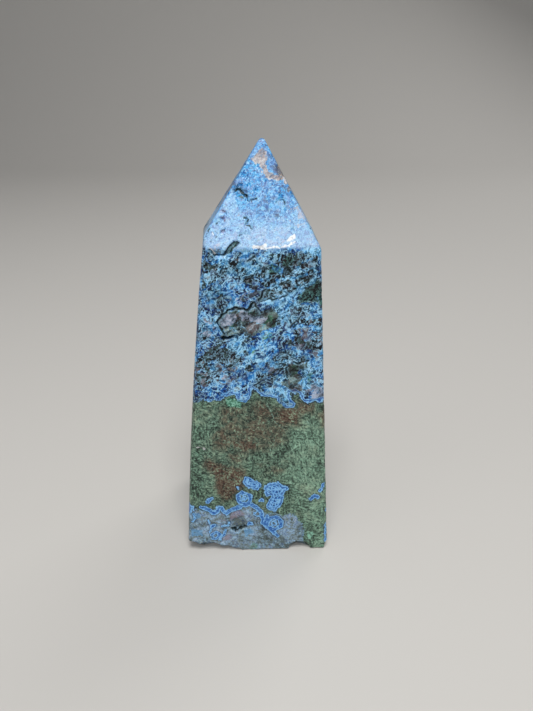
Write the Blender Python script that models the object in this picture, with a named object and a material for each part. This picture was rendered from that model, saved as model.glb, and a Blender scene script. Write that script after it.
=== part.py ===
"""Hand-cut point of azurite and malachite, one solid stone standing on its flat base.

Units are metres and +Z is up. The front face looks along -Y, and +X is to its right. The origin
is on the ground, under the middle of the stone's bounding box. Lengths below are in millimetres
and become metres when the mesh is made.
"""

from collections import namedtuple

import bmesh
import bpy
import numpy as np

MM = 0.001
NODE_NAME = "azurite_malachite_point"

# Overall sizes
HEIGHT = 80.0
TIP_ROUNDING = 0.7
SHOULDER_HEIGHT = 63.3
FRONT_BASE_WIDTH = 28.85
FRONT_SHOULDER_WIDTH = 19.55
BASE_DEPTH = 25.6
FRONT_SETBACK = 4.4
LEFT_EDGE_BOW = 0.6

# How much of a face's width or height is cut away where it meets the next, as a share of it
EDGE_CUT = 0.016
BODY_RIDGE_CUT = 0.004
PYRAMID_RIDGE_CUT = 0.015

# The middle of the bounding box, measured from the middle of the front base edge
BOX_MIDDLE_X = -0.64
BOX_MIDDLE_Y = 12.8

# Corners of the base and of the shoulder, anticlockwise from the front left one. The fifth is the
# left side of the narrow bevel on the front left edge. Each is x, y and height.
FRONT_LEFT_X = -14.5
SHOULDER_LEFT_X = -8.45
BASE_CORNERS = np.array([
    (FRONT_LEFT_X, 0.0, 0.0),
    (FRONT_LEFT_X + FRONT_BASE_WIDTH, 0.0, 0.0),
    (14.8, 25.4, 0.0),
    (-16.1, BASE_DEPTH, 0.0),
    (-14.75, 0.6, 0.0),
])
SHOULDER_CORNERS = np.array([
    (SHOULDER_LEFT_X, FRONT_SETBACK, SHOULDER_HEIGHT),
    (SHOULDER_LEFT_X + FRONT_SHOULDER_WIDTH, FRONT_SETBACK, SHOULDER_HEIGHT),
    (11.2, 21.0, 62.6),
    (-9.85, 20.4, 63.1),
    (-8.93, 5.54, 65.35),
])
APEX = np.array([1.26, 13.6, HEIGHT + TIP_ROUNDING])
BOWED_CORNERS = (0, 4)

# Columns of the surface on each face, and rows on each stretch of the height, closer together
# where the stone has relief. A stretch is its start, its stop and its number of steps, as shares
# of the way from the ground to the shoulder, or from the shoulder to the apex.
FACE_NAMES = ("front", "right", "back", "left", "bevel")
FACE_COLUMNS = (42, 12, 14, 11, 0)
INWARD = {
    "front": (0.0, 1.0),
    "right": (-1.0, 0.0),
    "back": (0.0, -1.0),
    "left": (1.0, 0.0),
    "bevel": (0.8, 0.6),
}
CORNER_TURN = 0.12
LIP_FADE = 0.13
BODY_STRETCHES = (
    (0.0, LIP_FADE, 8),
    (LIP_FADE, 0.33, 4),
    (0.33, 0.42, 5),
    (0.42, 0.56, 4),
    (0.56, 1.0 - BODY_RIDGE_CUT, 29),
)
PYRAMID_STRETCHES = (
    (PYRAMID_RIDGE_CUT, 0.14, 4),
    (0.14, 0.36, 3),
    (0.36, 0.60, 6),
    (0.60, 0.90, 3),
    (0.90, 0.96, 3),
)

# The rim of the base: a fine broken edge all round, and larger flakes knocked off it
RIM_HEIGHT = 0.25
RIM_INSET = 0.25
CHIP_ROWS = 2
CHIP_HOLLOW = 0.7

# A flake: where it is along the base's outline from the front left corner, half its width,
# its height up the face, and how far it reaches in under the stone
Flake = namedtuple("Flake", "along half_width height reach")
FLAKES = (
    Flake(4.2, 5.6, 2.0, 2.0),
    Flake(-0.4, 1.6, 3.2, 1.2),
    Flake(22.9, 2.5, 2.0, 1.9),
    Flake(29.1, 1.0, 1.9, 0.7),
    Flake(44.5, 3.4, 1.5, 1.3),
    Flake(56.0, 1.5, 1.8, 1.0),
    Flake(66.5, 2.6, 1.2, 1.2),
    Flake(80.0, 4.2, 1.9, 1.7),
    Flake(98.0, 2.4, 1.1, 1.0),
)

# A hollow in a face: the face, the place across it (x on the front and back, y on the sides), its
# height, half its length and width, how its length is turned from level, and its depth
Hollow = namedtuple("Hollow", "face across height half_length half_width turn depth")
HOLLOWS = (
    # The long open seam across the front shoulder, and the worn edge beside it
    Hollow("front", -4.2, 63.4, 2.3, 0.75, 44.0, 1.1),
    Hollow("front", -7.5, 62.9, 1.1, 0.5, -38.0, 0.6),
    Hollow("front", -3.6, 62.4, 4.6, 1.0, -3.0, 0.35),
    Hollow("front", 1.0, 62.9, 2.6, 0.7, 8.0, 0.3),
    # The sunk plate and the cracks round it
    Hollow("front", -3.4, 50.3, 4.2, 2.4, 12.0, 0.5),
    Hollow("front", 0.6, 50.2, 2.4, 1.9, 20.0, 0.35),
    Hollow("front", 0.3, 54.3, 1.9, 0.5, 52.0, 0.5),
    Hollow("front", -5.8, 47.2, 1.9, 0.45, 8.0, 0.6),
    # Open cells in the upper body
    Hollow("front", 5.4, 59.2, 1.0, 0.8, 70.0, 0.65),
    Hollow("front", 1.1, 59.0, 1.2, 0.55, -60.0, 0.5),
    Hollow("front", -1.3, 58.0, 0.9, 0.5, 30.0, 0.45),
    Hollow("front", 9.2, 54.8, 2.7, 1.1, 38.0, 0.4),
    Hollow("front", 3.4, 55.9, 1.7, 0.7, 5.0, 0.4),
    Hollow("front", 7.3, 46.9, 1.2, 0.6, 90.0, 0.4),
    # The pit low on the right, the nick in the left edge and the pit above the base
    Hollow("front", 7.0, 39.6, 3.4, 2.3, 80.0, 0.7),
    Hollow("front", -11.3, 24.0, 1.4, 1.2, 0.0, 0.55),
    Hollow("front", -4.1, 6.6, 2.1, 1.6, 90.0, 0.95),
    # The pyramid's seam
    Hollow("front", -2.3, 71.4, 2.1, 0.8, -28.0, 0.4),
    # The hidden faces carry hollows of the same kinds
    Hollow("right", 9.5, 57.5, 2.0, 1.2, 35.0, 0.5),
    Hollow("right", 17.0, 48.0, 2.8, 1.6, -20.0, 0.5),
    Hollow("right", 8.0, 41.0, 1.8, 1.3, 60.0, 0.5),
    Hollow("back", 4.0, 53.0, 3.6, 1.8, -15.0, 0.6),
    Hollow("back", -5.0, 58.5, 1.8, 1.1, 40.0, 0.5),
    Hollow("back", -6.0, 41.0, 2.6, 1.7, 75.0, 0.6),
    Hollow("back", 6.5, 10.0, 2.2, 1.7, 10.0, 0.7),
    Hollow("left", 14.0, 51.0, 3.0, 1.6, 25.0, 0.5),
    Hollow("left", 9.0, 39.0, 1.8, 1.4, 80.0, 0.5),
    Hollow("left", 18.0, 9.0, 1.8, 1.5, 0.0, 0.6),
)
HOLLOW_WALL = 0.45

STONE_COLOUR = (0.10, 0.20, 0.29, 1.0)
STONE_ROUGHNESS = 0.35


def clear_scene():
    """Remove every object that the file opened with."""
    for thing in list(bpy.data.objects):
        bpy.data.objects.remove(thing, do_unlink=True)


def smooth_step(value):
    """Ease from 0 to 1 as the value goes from 0 to 1."""
    value = np.clip(value, 0.0, 1.0)
    return value * value * (3.0 - 2.0 * value)


def surface_columns():
    """Lay out the columns round the stone.

    Each face's columns run from near one corner to near the next, so that the step between two
    faces cuts the edge off. Returns the share of each corner in each column, the index of each
    column's face, and the level direction in which relief is pushed in.
    """
    corner_count = len(FACE_NAMES)
    shares = []
    faces = []
    directions = []
    for index, (name, count) in enumerate(zip(FACE_NAMES, FACE_COLUMNS)):
        if count == 0:
            continue
        start = 0.0 if index == 0 else EDGE_CUT
        stop = 1.0 if index == corner_count - 2 else 1.0 - EDGE_CUT
        here = np.array(INWARD[name])
        before = np.array(INWARD[FACE_NAMES[index - 1]])
        after = np.array(INWARD[FACE_NAMES[(index + 1) % corner_count]])
        for along in np.linspace(start, stop, count):
            share = np.zeros(corner_count)
            share[index] = 1.0 - along
            share[(index + 1) % corner_count] = along
            near_start = 1.0 - smooth_step(along / CORNER_TURN)
            near_stop = 1.0 - smooth_step((1.0 - along) / CORNER_TURN)
            direction = here + near_start * before + near_stop * after
            shares.append(share)
            faces.append(index)
            directions.append(direction / np.linalg.norm(direction))
    return np.array(shares), np.array(faces), np.array(directions)


def stretch_rows(stretches):
    """Join evenly spaced stretches, given as start, stop and number of steps, in one rising list."""
    parts = [np.linspace(start, stop, steps, endpoint=False) for start, stop, steps in stretches]
    parts.append(np.array([stretches[-1][1]]))
    return np.concatenate(parts)


def rim_profile(outline):
    """Find how high the broken rim reaches at each column, and how far it is set in at the ground.

    A flake has a flat middle and steep ends: its height falls with the fourth power of the
    distance from its middle. Distance is measured along the base's outline.
    """
    steps = np.linalg.norm(np.diff(outline[:, :2], axis=0), axis=1)
    along = np.concatenate(([0.0], np.cumsum(steps)))
    whole = along[-1] + np.linalg.norm(outline[0, :2] - outline[-1, :2])
    height = np.full(len(outline), RIM_HEIGHT)
    inset = np.full(len(outline), RIM_INSET)
    for flake in FLAKES:
        gap = (along - flake.along + whole / 2.0) % whole - whole / 2.0
        strength = np.clip(1.0 - np.abs(gap / flake.half_width) ** 4, 0.0, 1.0)
        height = np.maximum(height, RIM_HEIGHT + strength * (flake.height - RIM_HEIGHT))
        inset = np.maximum(inset, RIM_INSET + strength * (flake.reach - RIM_INSET))
    return height, inset


def hollow_depth(points, faces):
    """Add up how deep the hollows are at each point of the surface, in millimetres.

    A hollow is an ellipse that is flat in the middle and rises to the face over the outer part of
    its radius. It acts only on the columns of its own face.
    """
    depth = np.zeros(points.shape[:2])
    for hollow in HOLLOWS:
        face = FACE_NAMES.index(hollow.face)
        axis = 0 if hollow.face in ("front", "back") else 1
        across = points[:, :, axis] - hollow.across
        rise = points[:, :, 2] - hollow.height
        turn = np.radians(hollow.turn)
        lengthwise = across * np.cos(turn) + rise * np.sin(turn)
        sideways = rise * np.cos(turn) - across * np.sin(turn)
        reach = np.hypot(lengthwise / hollow.half_length, sideways / hollow.half_width)
        here = hollow.depth * smooth_step((1.0 - reach) / HOLLOW_WALL)
        depth = np.maximum(depth, np.where(faces[None, :] == face, here, 0.0))
    return depth


def body_rows(base, shoulder, lip, bowed):
    """Work out the body's rows, from the rim's lip up to just below the shoulder.

    A row's share of the way up is raised by the lip's height near the ground, less and less
    towards LIP_FADE. The front left edge bows out to the left by a parabola, and the faces
    beside it follow.
    """
    share = stretch_rows(BODY_STRETCHES)[:, None]
    lip_share = lip[None, :] / shoulder[None, :, 2]
    fade = np.clip(1.0 - share / LIP_FADE, 0.0, 1.0) ** 2
    share = share + lip_share * fade
    rows = share[:, :, None] * shoulder[None] + (1.0 - share[:, :, None]) * base[None]
    rows[:, :, 0] -= LEFT_EDGE_BOW * bowed * 4.0 * share * (1.0 - share)
    return rows


def pyramid_rows(shoulder):
    """Work out the pyramid's rows, with the tip rounded as a hyperbola."""
    share = stretch_rows(PYRAMID_STRETCHES)[:, None, None]
    rows = (1.0 - share) * shoulder[None] + share * APEX
    below = APEX[2] - rows[:, :, 2]
    rows[:, :, 2] = APEX[2] - np.hypot(below, TIP_ROUNDING)
    return rows


def chip_rows(base, lip, inset, directions, first_row):
    """Work out the rows between the ground and the rim's lip, hollow like a knocked-off flake."""
    rows = []
    for step in range(CHIP_ROWS):
        share = step / CHIP_ROWS
        row = (1.0 - share) * base + share * first_row
        row[:, 2] = lip * share
        row[:, :2] += directions * (inset * (1.0 - share) ** CHIP_HOLLOW)[:, None]
        rows.append(row)
    return np.array(rows)


def stone_surface():
    """Work out the whole side surface as rows of points, from the ground to just under the tip."""
    shares, faces, directions = surface_columns()
    base = shares @ BASE_CORNERS
    shoulder = shares @ SHOULDER_CORNERS
    bowed = shares[:, list(BOWED_CORNERS)].sum(axis=1)
    lip, inset = rim_profile(base)
    body = body_rows(base, shoulder, lip, bowed)
    chips = chip_rows(base, lip, inset, directions, body[0])
    upper = np.concatenate((body, pyramid_rows(shoulder)))
    depth = hollow_depth(upper, faces)
    upper[:, :, :2] += depth[:, :, None] * directions[None]
    return np.concatenate((chips, upper))


def build_mesh(name):
    """Make the closed mesh: the side surface, a fan under the base and a fan at the tip."""
    surface = stone_surface()
    row_count, column_count = surface.shape[:2]
    middle = np.array([BOX_MIDDLE_X, BOX_MIDDLE_Y, 0.0])
    ground_point = surface[0].mean(axis=0)
    tip_point = np.array([APEX[0], APEX[1], HEIGHT])
    points = np.concatenate((surface.reshape(-1, 3), [ground_point, tip_point])) - middle
    shape = bmesh.new()
    corners = [shape.verts.new(point) for point in points * MM]
    ground = corners[-2]
    tip = corners[-1]
    for column in range(column_count):
        after = (column + 1) % column_count
        shape.faces.new((ground, corners[after], corners[column]))
        for row in range(row_count - 1):
            low = row * column_count
            high = low + column_count
            shape.faces.new((corners[low + column], corners[low + after], corners[high + after]))
            shape.faces.new((corners[low + column], corners[high + after], corners[high + column]))
        top = (row_count - 1) * column_count
        shape.faces.new((corners[top + column], corners[top + after], tip))
    bmesh.ops.recalc_face_normals(shape, faces=shape.faces)
    mesh = bpy.data.meshes.new(name)
    shape.to_mesh(mesh)
    shape.free()
    return mesh


def stone_material():
    """Make the plain finish of polished blue and green stone."""
    material = bpy.data.materials.new("polished_stone")
    material.use_nodes = True
    shader = material.node_tree.nodes["Principled BSDF"]
    shader.inputs["Base Color"].default_value = STONE_COLOUR
    shader.inputs["Roughness"].default_value = STONE_ROUGHNESS
    shader.inputs["Metallic"].default_value = 0.0
    return material


def main():
    """Build the stone."""
    clear_scene()
    mesh = build_mesh(NODE_NAME)
    mesh.materials.append(stone_material())
    stone = bpy.data.objects.new(NODE_NAME, mesh)
    bpy.context.scene.collection.objects.link(stone)


main()
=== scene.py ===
"""Looks of a hand-cut point of azurite over malachite, one polished stone on its flat base.

The stone is one closed surface, worked out on a grid of rows and columns in the same shape as the
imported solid, with the finer pits, cracks and worn edges cut into it. Its minerals are laid out as
fields on the surface, and a node material turns them into colour, gloss and grain.

Lengths are in millimetres from the middle of the front base edge, and become metres, measured
from under the middle of the stone's box, when the mesh is made.
"""

import logging
import math
from dataclasses import dataclass, field
from enum import Enum

import bpy
import numpy as np
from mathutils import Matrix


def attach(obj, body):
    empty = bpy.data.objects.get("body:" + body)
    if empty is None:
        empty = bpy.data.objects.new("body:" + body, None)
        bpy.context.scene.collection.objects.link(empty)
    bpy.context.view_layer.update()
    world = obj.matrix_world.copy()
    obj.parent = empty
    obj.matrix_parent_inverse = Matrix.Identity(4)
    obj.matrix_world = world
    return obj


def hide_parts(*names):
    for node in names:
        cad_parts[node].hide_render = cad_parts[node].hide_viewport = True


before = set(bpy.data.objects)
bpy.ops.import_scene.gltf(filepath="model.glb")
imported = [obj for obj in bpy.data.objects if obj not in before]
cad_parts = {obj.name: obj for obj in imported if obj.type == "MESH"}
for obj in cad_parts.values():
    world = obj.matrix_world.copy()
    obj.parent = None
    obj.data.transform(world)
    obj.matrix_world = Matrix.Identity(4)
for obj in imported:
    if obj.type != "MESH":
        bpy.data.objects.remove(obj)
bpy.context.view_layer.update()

MM = 0.001
NODE_NAME = "azurite_malachite_point"
BODY_NAME = "root"
SLOT_NAME = "polished_stone"
BOX_MIDDLE = np.array([-0.64, 12.8, 0.0])

LOG = logging.getLogger("azurite_malachite_point")


class Face(Enum):
    """The faces of the tower, anticlockwise from the front. The bevel is on the front left edge."""

    FRONT = 0
    RIGHT = 1
    BACK = 2
    LEFT = 3
    BEVEL = 4


class Tone(Enum):
    """Kinds of patch in the stone. Each value is the name of a field on the surface."""

    DARK = "dark"
    PALE = "pale"
    DEEP = "deep"
    CLAY = "clay"
    LEAF = "leaf"
    MOSS = "moss"
    UMBER = "umber"
    RUST = "rust"


FACE_PAIRS = {
    Face.FRONT: (0, 1),
    Face.RIGHT: (1, 2),
    Face.BACK: (2, 3),
    Face.LEFT: (3, 4),
}
INWARD = {
    Face.FRONT: (0.0, 1.0),
    Face.RIGHT: (-1.0, 0.0),
    Face.BACK: (0.0, -1.0),
    Face.LEFT: (1.0, 0.0),
    Face.BEVEL: (0.8, 0.6),
}


def smooth_step(value: np.ndarray) -> np.ndarray:
    """Ease from 0 to 1 as the value goes from 0 to 1: v * v * (3 - 2 * v)."""
    value = np.clip(value, 0.0, 1.0)
    return value * value * (3.0 - 2.0 * value)


def segment_distance(points: np.ndarray, start: np.ndarray, end: np.ndarray) -> np.ndarray:
    """Distance from each point to a straight segment.

    The foot of the perpendicular is start + t * (end - start), with t kept between 0 and 1.

    Args:
        points: Points as rows of coordinates.
        start: One end of the segment.
        end: The other end.

    Returns:
        One distance for each point.
    """
    along = end - start
    share = np.clip((points - start) @ along / max(along @ along, 1e-9), 0.0, 1.0)
    return np.linalg.norm(points - start - share[:, None] * along, axis=1)


@dataclass
class LatticeNoise:
    """Smooth seeded noise: random values on a unit lattice, eased between the lattice points."""

    seed: int
    size: int = 1024
    order: np.ndarray = field(init=False)
    values: np.ndarray = field(init=False)

    def __post_init__(self) -> None:
        """Draw the table of random values and the order in which the lattice reads it."""
        draw = np.random.default_rng(self.seed)
        self.order = draw.permutation(self.size)
        self.values = draw.uniform(-1.0, 1.0, self.size)

    def single(self, points: np.ndarray) -> np.ndarray:
        """One layer of noise: the eight lattice values round a point, weighted by eased distance.

        Args:
            points: Points as rows of three coordinates, in lattice steps.

        Returns:
            One value between -1 and 1 for each point.
        """
        cell = np.floor(points).astype(np.int64)
        share = points - cell
        share = share * share * share * (share * (share * 6.0 - 15.0) + 10.0)
        total = np.zeros(len(points))
        for corner in np.ndindex(2, 2, 2):
            here = (cell + corner) % self.size
            index = self.order[(self.order[(self.order[here[:, 0]] + here[:, 1]) % self.size]
                                + here[:, 2]) % self.size]
            weight = np.prod(np.where(np.array(corner) == 1, share, 1.0 - share), axis=1)
            total += weight * self.values[index]
        return total

    def layered(self, points: np.ndarray, step: float, layers: int = 3) -> np.ndarray:
        """Several layers of noise, each half as wide and half as strong as the one before.

        Args:
            points: Points in millimetres.
            step: Width of the first layer's lattice cell in millimetres.
            layers: Number of layers.

        Returns:
            One value for each point, mostly between -1 and 1.
        """
        total = np.zeros(len(points))
        for layer in range(layers):
            scale = 2.0 ** layer / step
            total += self.single(points * scale + 37.7 * (layer + 1)) / 2.0 ** layer
        return total

    def shift(self, points: np.ndarray, step: float, amount: float) -> np.ndarray:
        """Move each point by noise of its own on each axis, up to the amount in millimetres."""
        moves = [self.layered(points + 91.3 * (axis + 1), step, 2) for axis in range(3)]
        return points + amount * np.stack(moves, axis=1)


@dataclass(frozen=True)
class Flake:
    """A flake broken off the base's rim.

    along is its middle on the base's outline from the front left corner, height is how far it
    reaches up the face, and reach how far in under the stone.
    """

    along: float
    half_width: float
    height: float
    reach: float


@dataclass(frozen=True)
class Spot:
    """An ellipse on a face: its place across and up the face, its half sizes and its turn.

    across is x on the front and back, and y on the sides. turn is in degrees from level.
    """

    face: Face
    across: float
    height: float
    half_length: float
    half_width: float
    turn: float = 0.0

    def reach(self, points: np.ndarray, depths: dict[Face, np.ndarray]) -> np.ndarray:
        """How far out each point is, as a share of the ellipse: 0 in the middle, 1 on its line.

        It is sqrt((l / half_length)^2 + (s / half_width)^2 + (d / c)^2), with l and s the
        distances along and across the ellipse, d the depth below the face, and c its width or
        0.9 mm, whichever is larger, so that a spot near an edge carries on round it.

        Args:
            points: Points in millimetres.
            depths: Depth of each point below each face.

        Returns:
            One share for each point.
        """
        axis = 0 if self.face in (Face.FRONT, Face.BACK) else 1
        across = points[:, axis] - self.across
        rise = points[:, 2] - self.height
        turn = math.radians(self.turn)
        lengthwise = across * math.cos(turn) + rise * math.sin(turn)
        sideways = rise * math.cos(turn) - across * math.sin(turn)
        inner = depths[self.face] / max(self.half_width, 0.9)
        return np.sqrt((lengthwise / self.half_length) ** 2
                       + (sideways / self.half_width) ** 2 + inner ** 2)

    def weight(self, points: np.ndarray, depths: dict[Face, np.ndarray]) -> np.ndarray:
        """1 inside the ellipse, easing to 0 at half as far again from its middle."""
        return smooth_step((1.5 - self.reach(points, depths)) / 0.9)


@dataclass(frozen=True)
class Area:
    """A closed outline on a face, given as points across and up the face."""

    face: Face
    corners: tuple[tuple[float, float], ...]
    soft: float = 0.5
    reach_in: float = 1.4

    def signed(self, points: np.ndarray) -> np.ndarray:
        """Distance to the outline in millimetres, positive inside.

        It is the least distance to the outline's segments. A point is inside where a level ray
        from it crosses the outline an odd number of times.

        Args:
            points: Points in millimetres.

        Returns:
            One distance for each point.
        """
        axis = 0 if self.face in (Face.FRONT, Face.BACK) else 1
        flat = points[:, [axis, 2]]
        corners = np.array(self.corners)
        nearest = np.full(len(flat), 99.0)
        inside = np.zeros(len(flat), dtype=bool)
        for start, end in zip(corners, np.roll(corners, -1, axis=0)):
            nearest = np.minimum(nearest, segment_distance(flat, start, end))
            rise = float(end[1] - start[1]) or 1e-9
            spans = (start[1] > flat[:, 1]) != (end[1] > flat[:, 1])
            crossing = start[0] + (flat[:, 1] - start[1]) * (end[0] - start[0]) / rise
            inside ^= spans & (flat[:, 0] < crossing)
        return np.where(inside, nearest, -nearest)

    def weight(self, points: np.ndarray, depths: dict[Face, np.ndarray]) -> np.ndarray:
        """1 inside the outline, easing to 0 across it, and fading with the depth below the face."""
        near = np.flatnonzero(depths[self.face] < 2.0 * self.reach_in)
        found = np.zeros(len(points))
        fade = np.exp(-(np.clip(depths[self.face][near], 0.0, None) / self.reach_in) ** 2)
        found[near] = fade * smooth_step(0.5 + self.signed(points[near]) / self.soft)
        return found


@dataclass(frozen=True)
class Hollow:
    """A spot that is sunk into the face by a depth in millimetres."""

    spot: Spot
    depth: float


@dataclass(frozen=True)
class Patch:
    """A part of the surface of another mineral or tone."""

    tone: Tone
    shape: Spot | Area
    strength: float = 1.0


@dataclass(frozen=True)
class Line:
    """A line on a face through points given across and up the face, with half its width."""

    face: Face
    points: tuple[tuple[float, float], ...]
    half_width: float
    depth: float = 0.0


@dataclass
class TowerCut:
    """The cut faces of the tower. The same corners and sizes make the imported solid."""

    height: float = 80.0
    tip_rounding: float = 0.7
    shoulder_height: float = 63.3
    front_base_width: float = 28.85
    front_shoulder_width: float = 19.55
    base_depth: float = 25.6
    front_setback: float = 4.4
    left_edge_bow: float = 0.6
    front_left_x: float = -14.5
    shoulder_left_x: float = -8.45
    apex_x: float = 1.26
    apex_y: float = 13.6

    @property
    def base(self) -> np.ndarray:
        """The five corners of the base, anticlockwise from the front left one."""
        left = self.front_left_x
        return np.array([
            (left, 0.0, 0.0),
            (left + self.front_base_width, 0.0, 0.0),
            (14.8, 25.4, 0.0),
            (-16.1, self.base_depth, 0.0),
            (-14.75, 0.6, 0.0),
        ])

    @property
    def shoulder(self) -> np.ndarray:
        """The five corners where the body meets the pyramid."""
        left = self.shoulder_left_x
        return np.array([
            (left, self.front_setback, self.shoulder_height),
            (left + self.front_shoulder_width, self.front_setback, self.shoulder_height),
            (11.2, 21.0, 62.6),
            (-9.85, 20.4, 63.1),
            (-8.93, 5.54, 65.35),
        ])

    @property
    def apex(self) -> np.ndarray:
        """Where the pyramid's edges would meet if the tip weren't rounded."""
        return np.array([self.apex_x, self.apex_y, self.height + self.tip_rounding])

    def corner_at(self, index: int, heights: np.ndarray) -> np.ndarray:
        """Where one edge of the tower stands at each height, as x and y."""
        rise = np.clip(heights / self.shoulder_height, 0.0, 1.0)[:, None]
        top = self.apex[2] - self.shoulder_height
        climb = np.clip((heights - self.shoulder_height) / top, 0.0, 1.0)[:, None]
        body = (1.0 - rise) * self.base[index, :2] + rise * self.shoulder[index, :2]
        return (1.0 - climb) * body + climb * self.apex[:2]

    def depths(self, points: np.ndarray) -> dict[Face, np.ndarray]:
        """Depth of each point below each face, measured level and square to the face's line.

        Args:
            points: Points in millimetres.

        Returns:
            For each face, one depth for each point.
        """
        found = {}
        for face, (first, second) in FACE_PAIRS.items():
            start = self.corner_at(first, points[:, 2])
            end = self.corner_at(second, points[:, 2])
            along = end - start
            square = np.stack([-along[:, 1], along[:, 0]], axis=1)
            square /= np.maximum(np.linalg.norm(along, axis=1), 1e-6)[:, None]
            found[face] = np.einsum("ij,ij->i", points[:, :2] - start, square)
        return found

    def face_point(self, face: Face, across: float, height: float) -> np.ndarray:
        """The point of a face at a place across it and a height."""
        first, second = FACE_PAIRS[face]
        axis = 0 if face in (Face.FRONT, Face.BACK) else 1
        start = self.corner_at(first, np.array([height]))[0]
        end = self.corner_at(second, np.array([height]))[0]
        share = (across - start[axis]) / (end[axis] - start[axis])
        spot = (1.0 - share) * start + share * end
        return np.array([spot[0], spot[1], height])

    def across_range(self, face: Face, height: float) -> tuple[float, float]:
        """The lowest and highest place across a face at a height."""
        first, second = FACE_PAIRS[face]
        axis = 0 if face in (Face.FRONT, Face.BACK) else 1
        ends = [self.corner_at(index, np.array([height]))[0, axis] for index in (first, second)]
        return min(ends), max(ends)

    def line_field(self, lines: list[Line], points: np.ndarray) -> np.ndarray:
        """Signed distance to a set of lines, positive inside: half_width less the distance."""
        found = np.full(len(points), -9.0)
        for line in lines:
            corners = [self.face_point(line.face, *place) for place in line.points]
            for start, end in zip(corners[:-1], corners[1:]):
                gap = segment_distance(points, start, end)
                found = np.maximum(found, line.half_width - gap)
        return found


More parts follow.
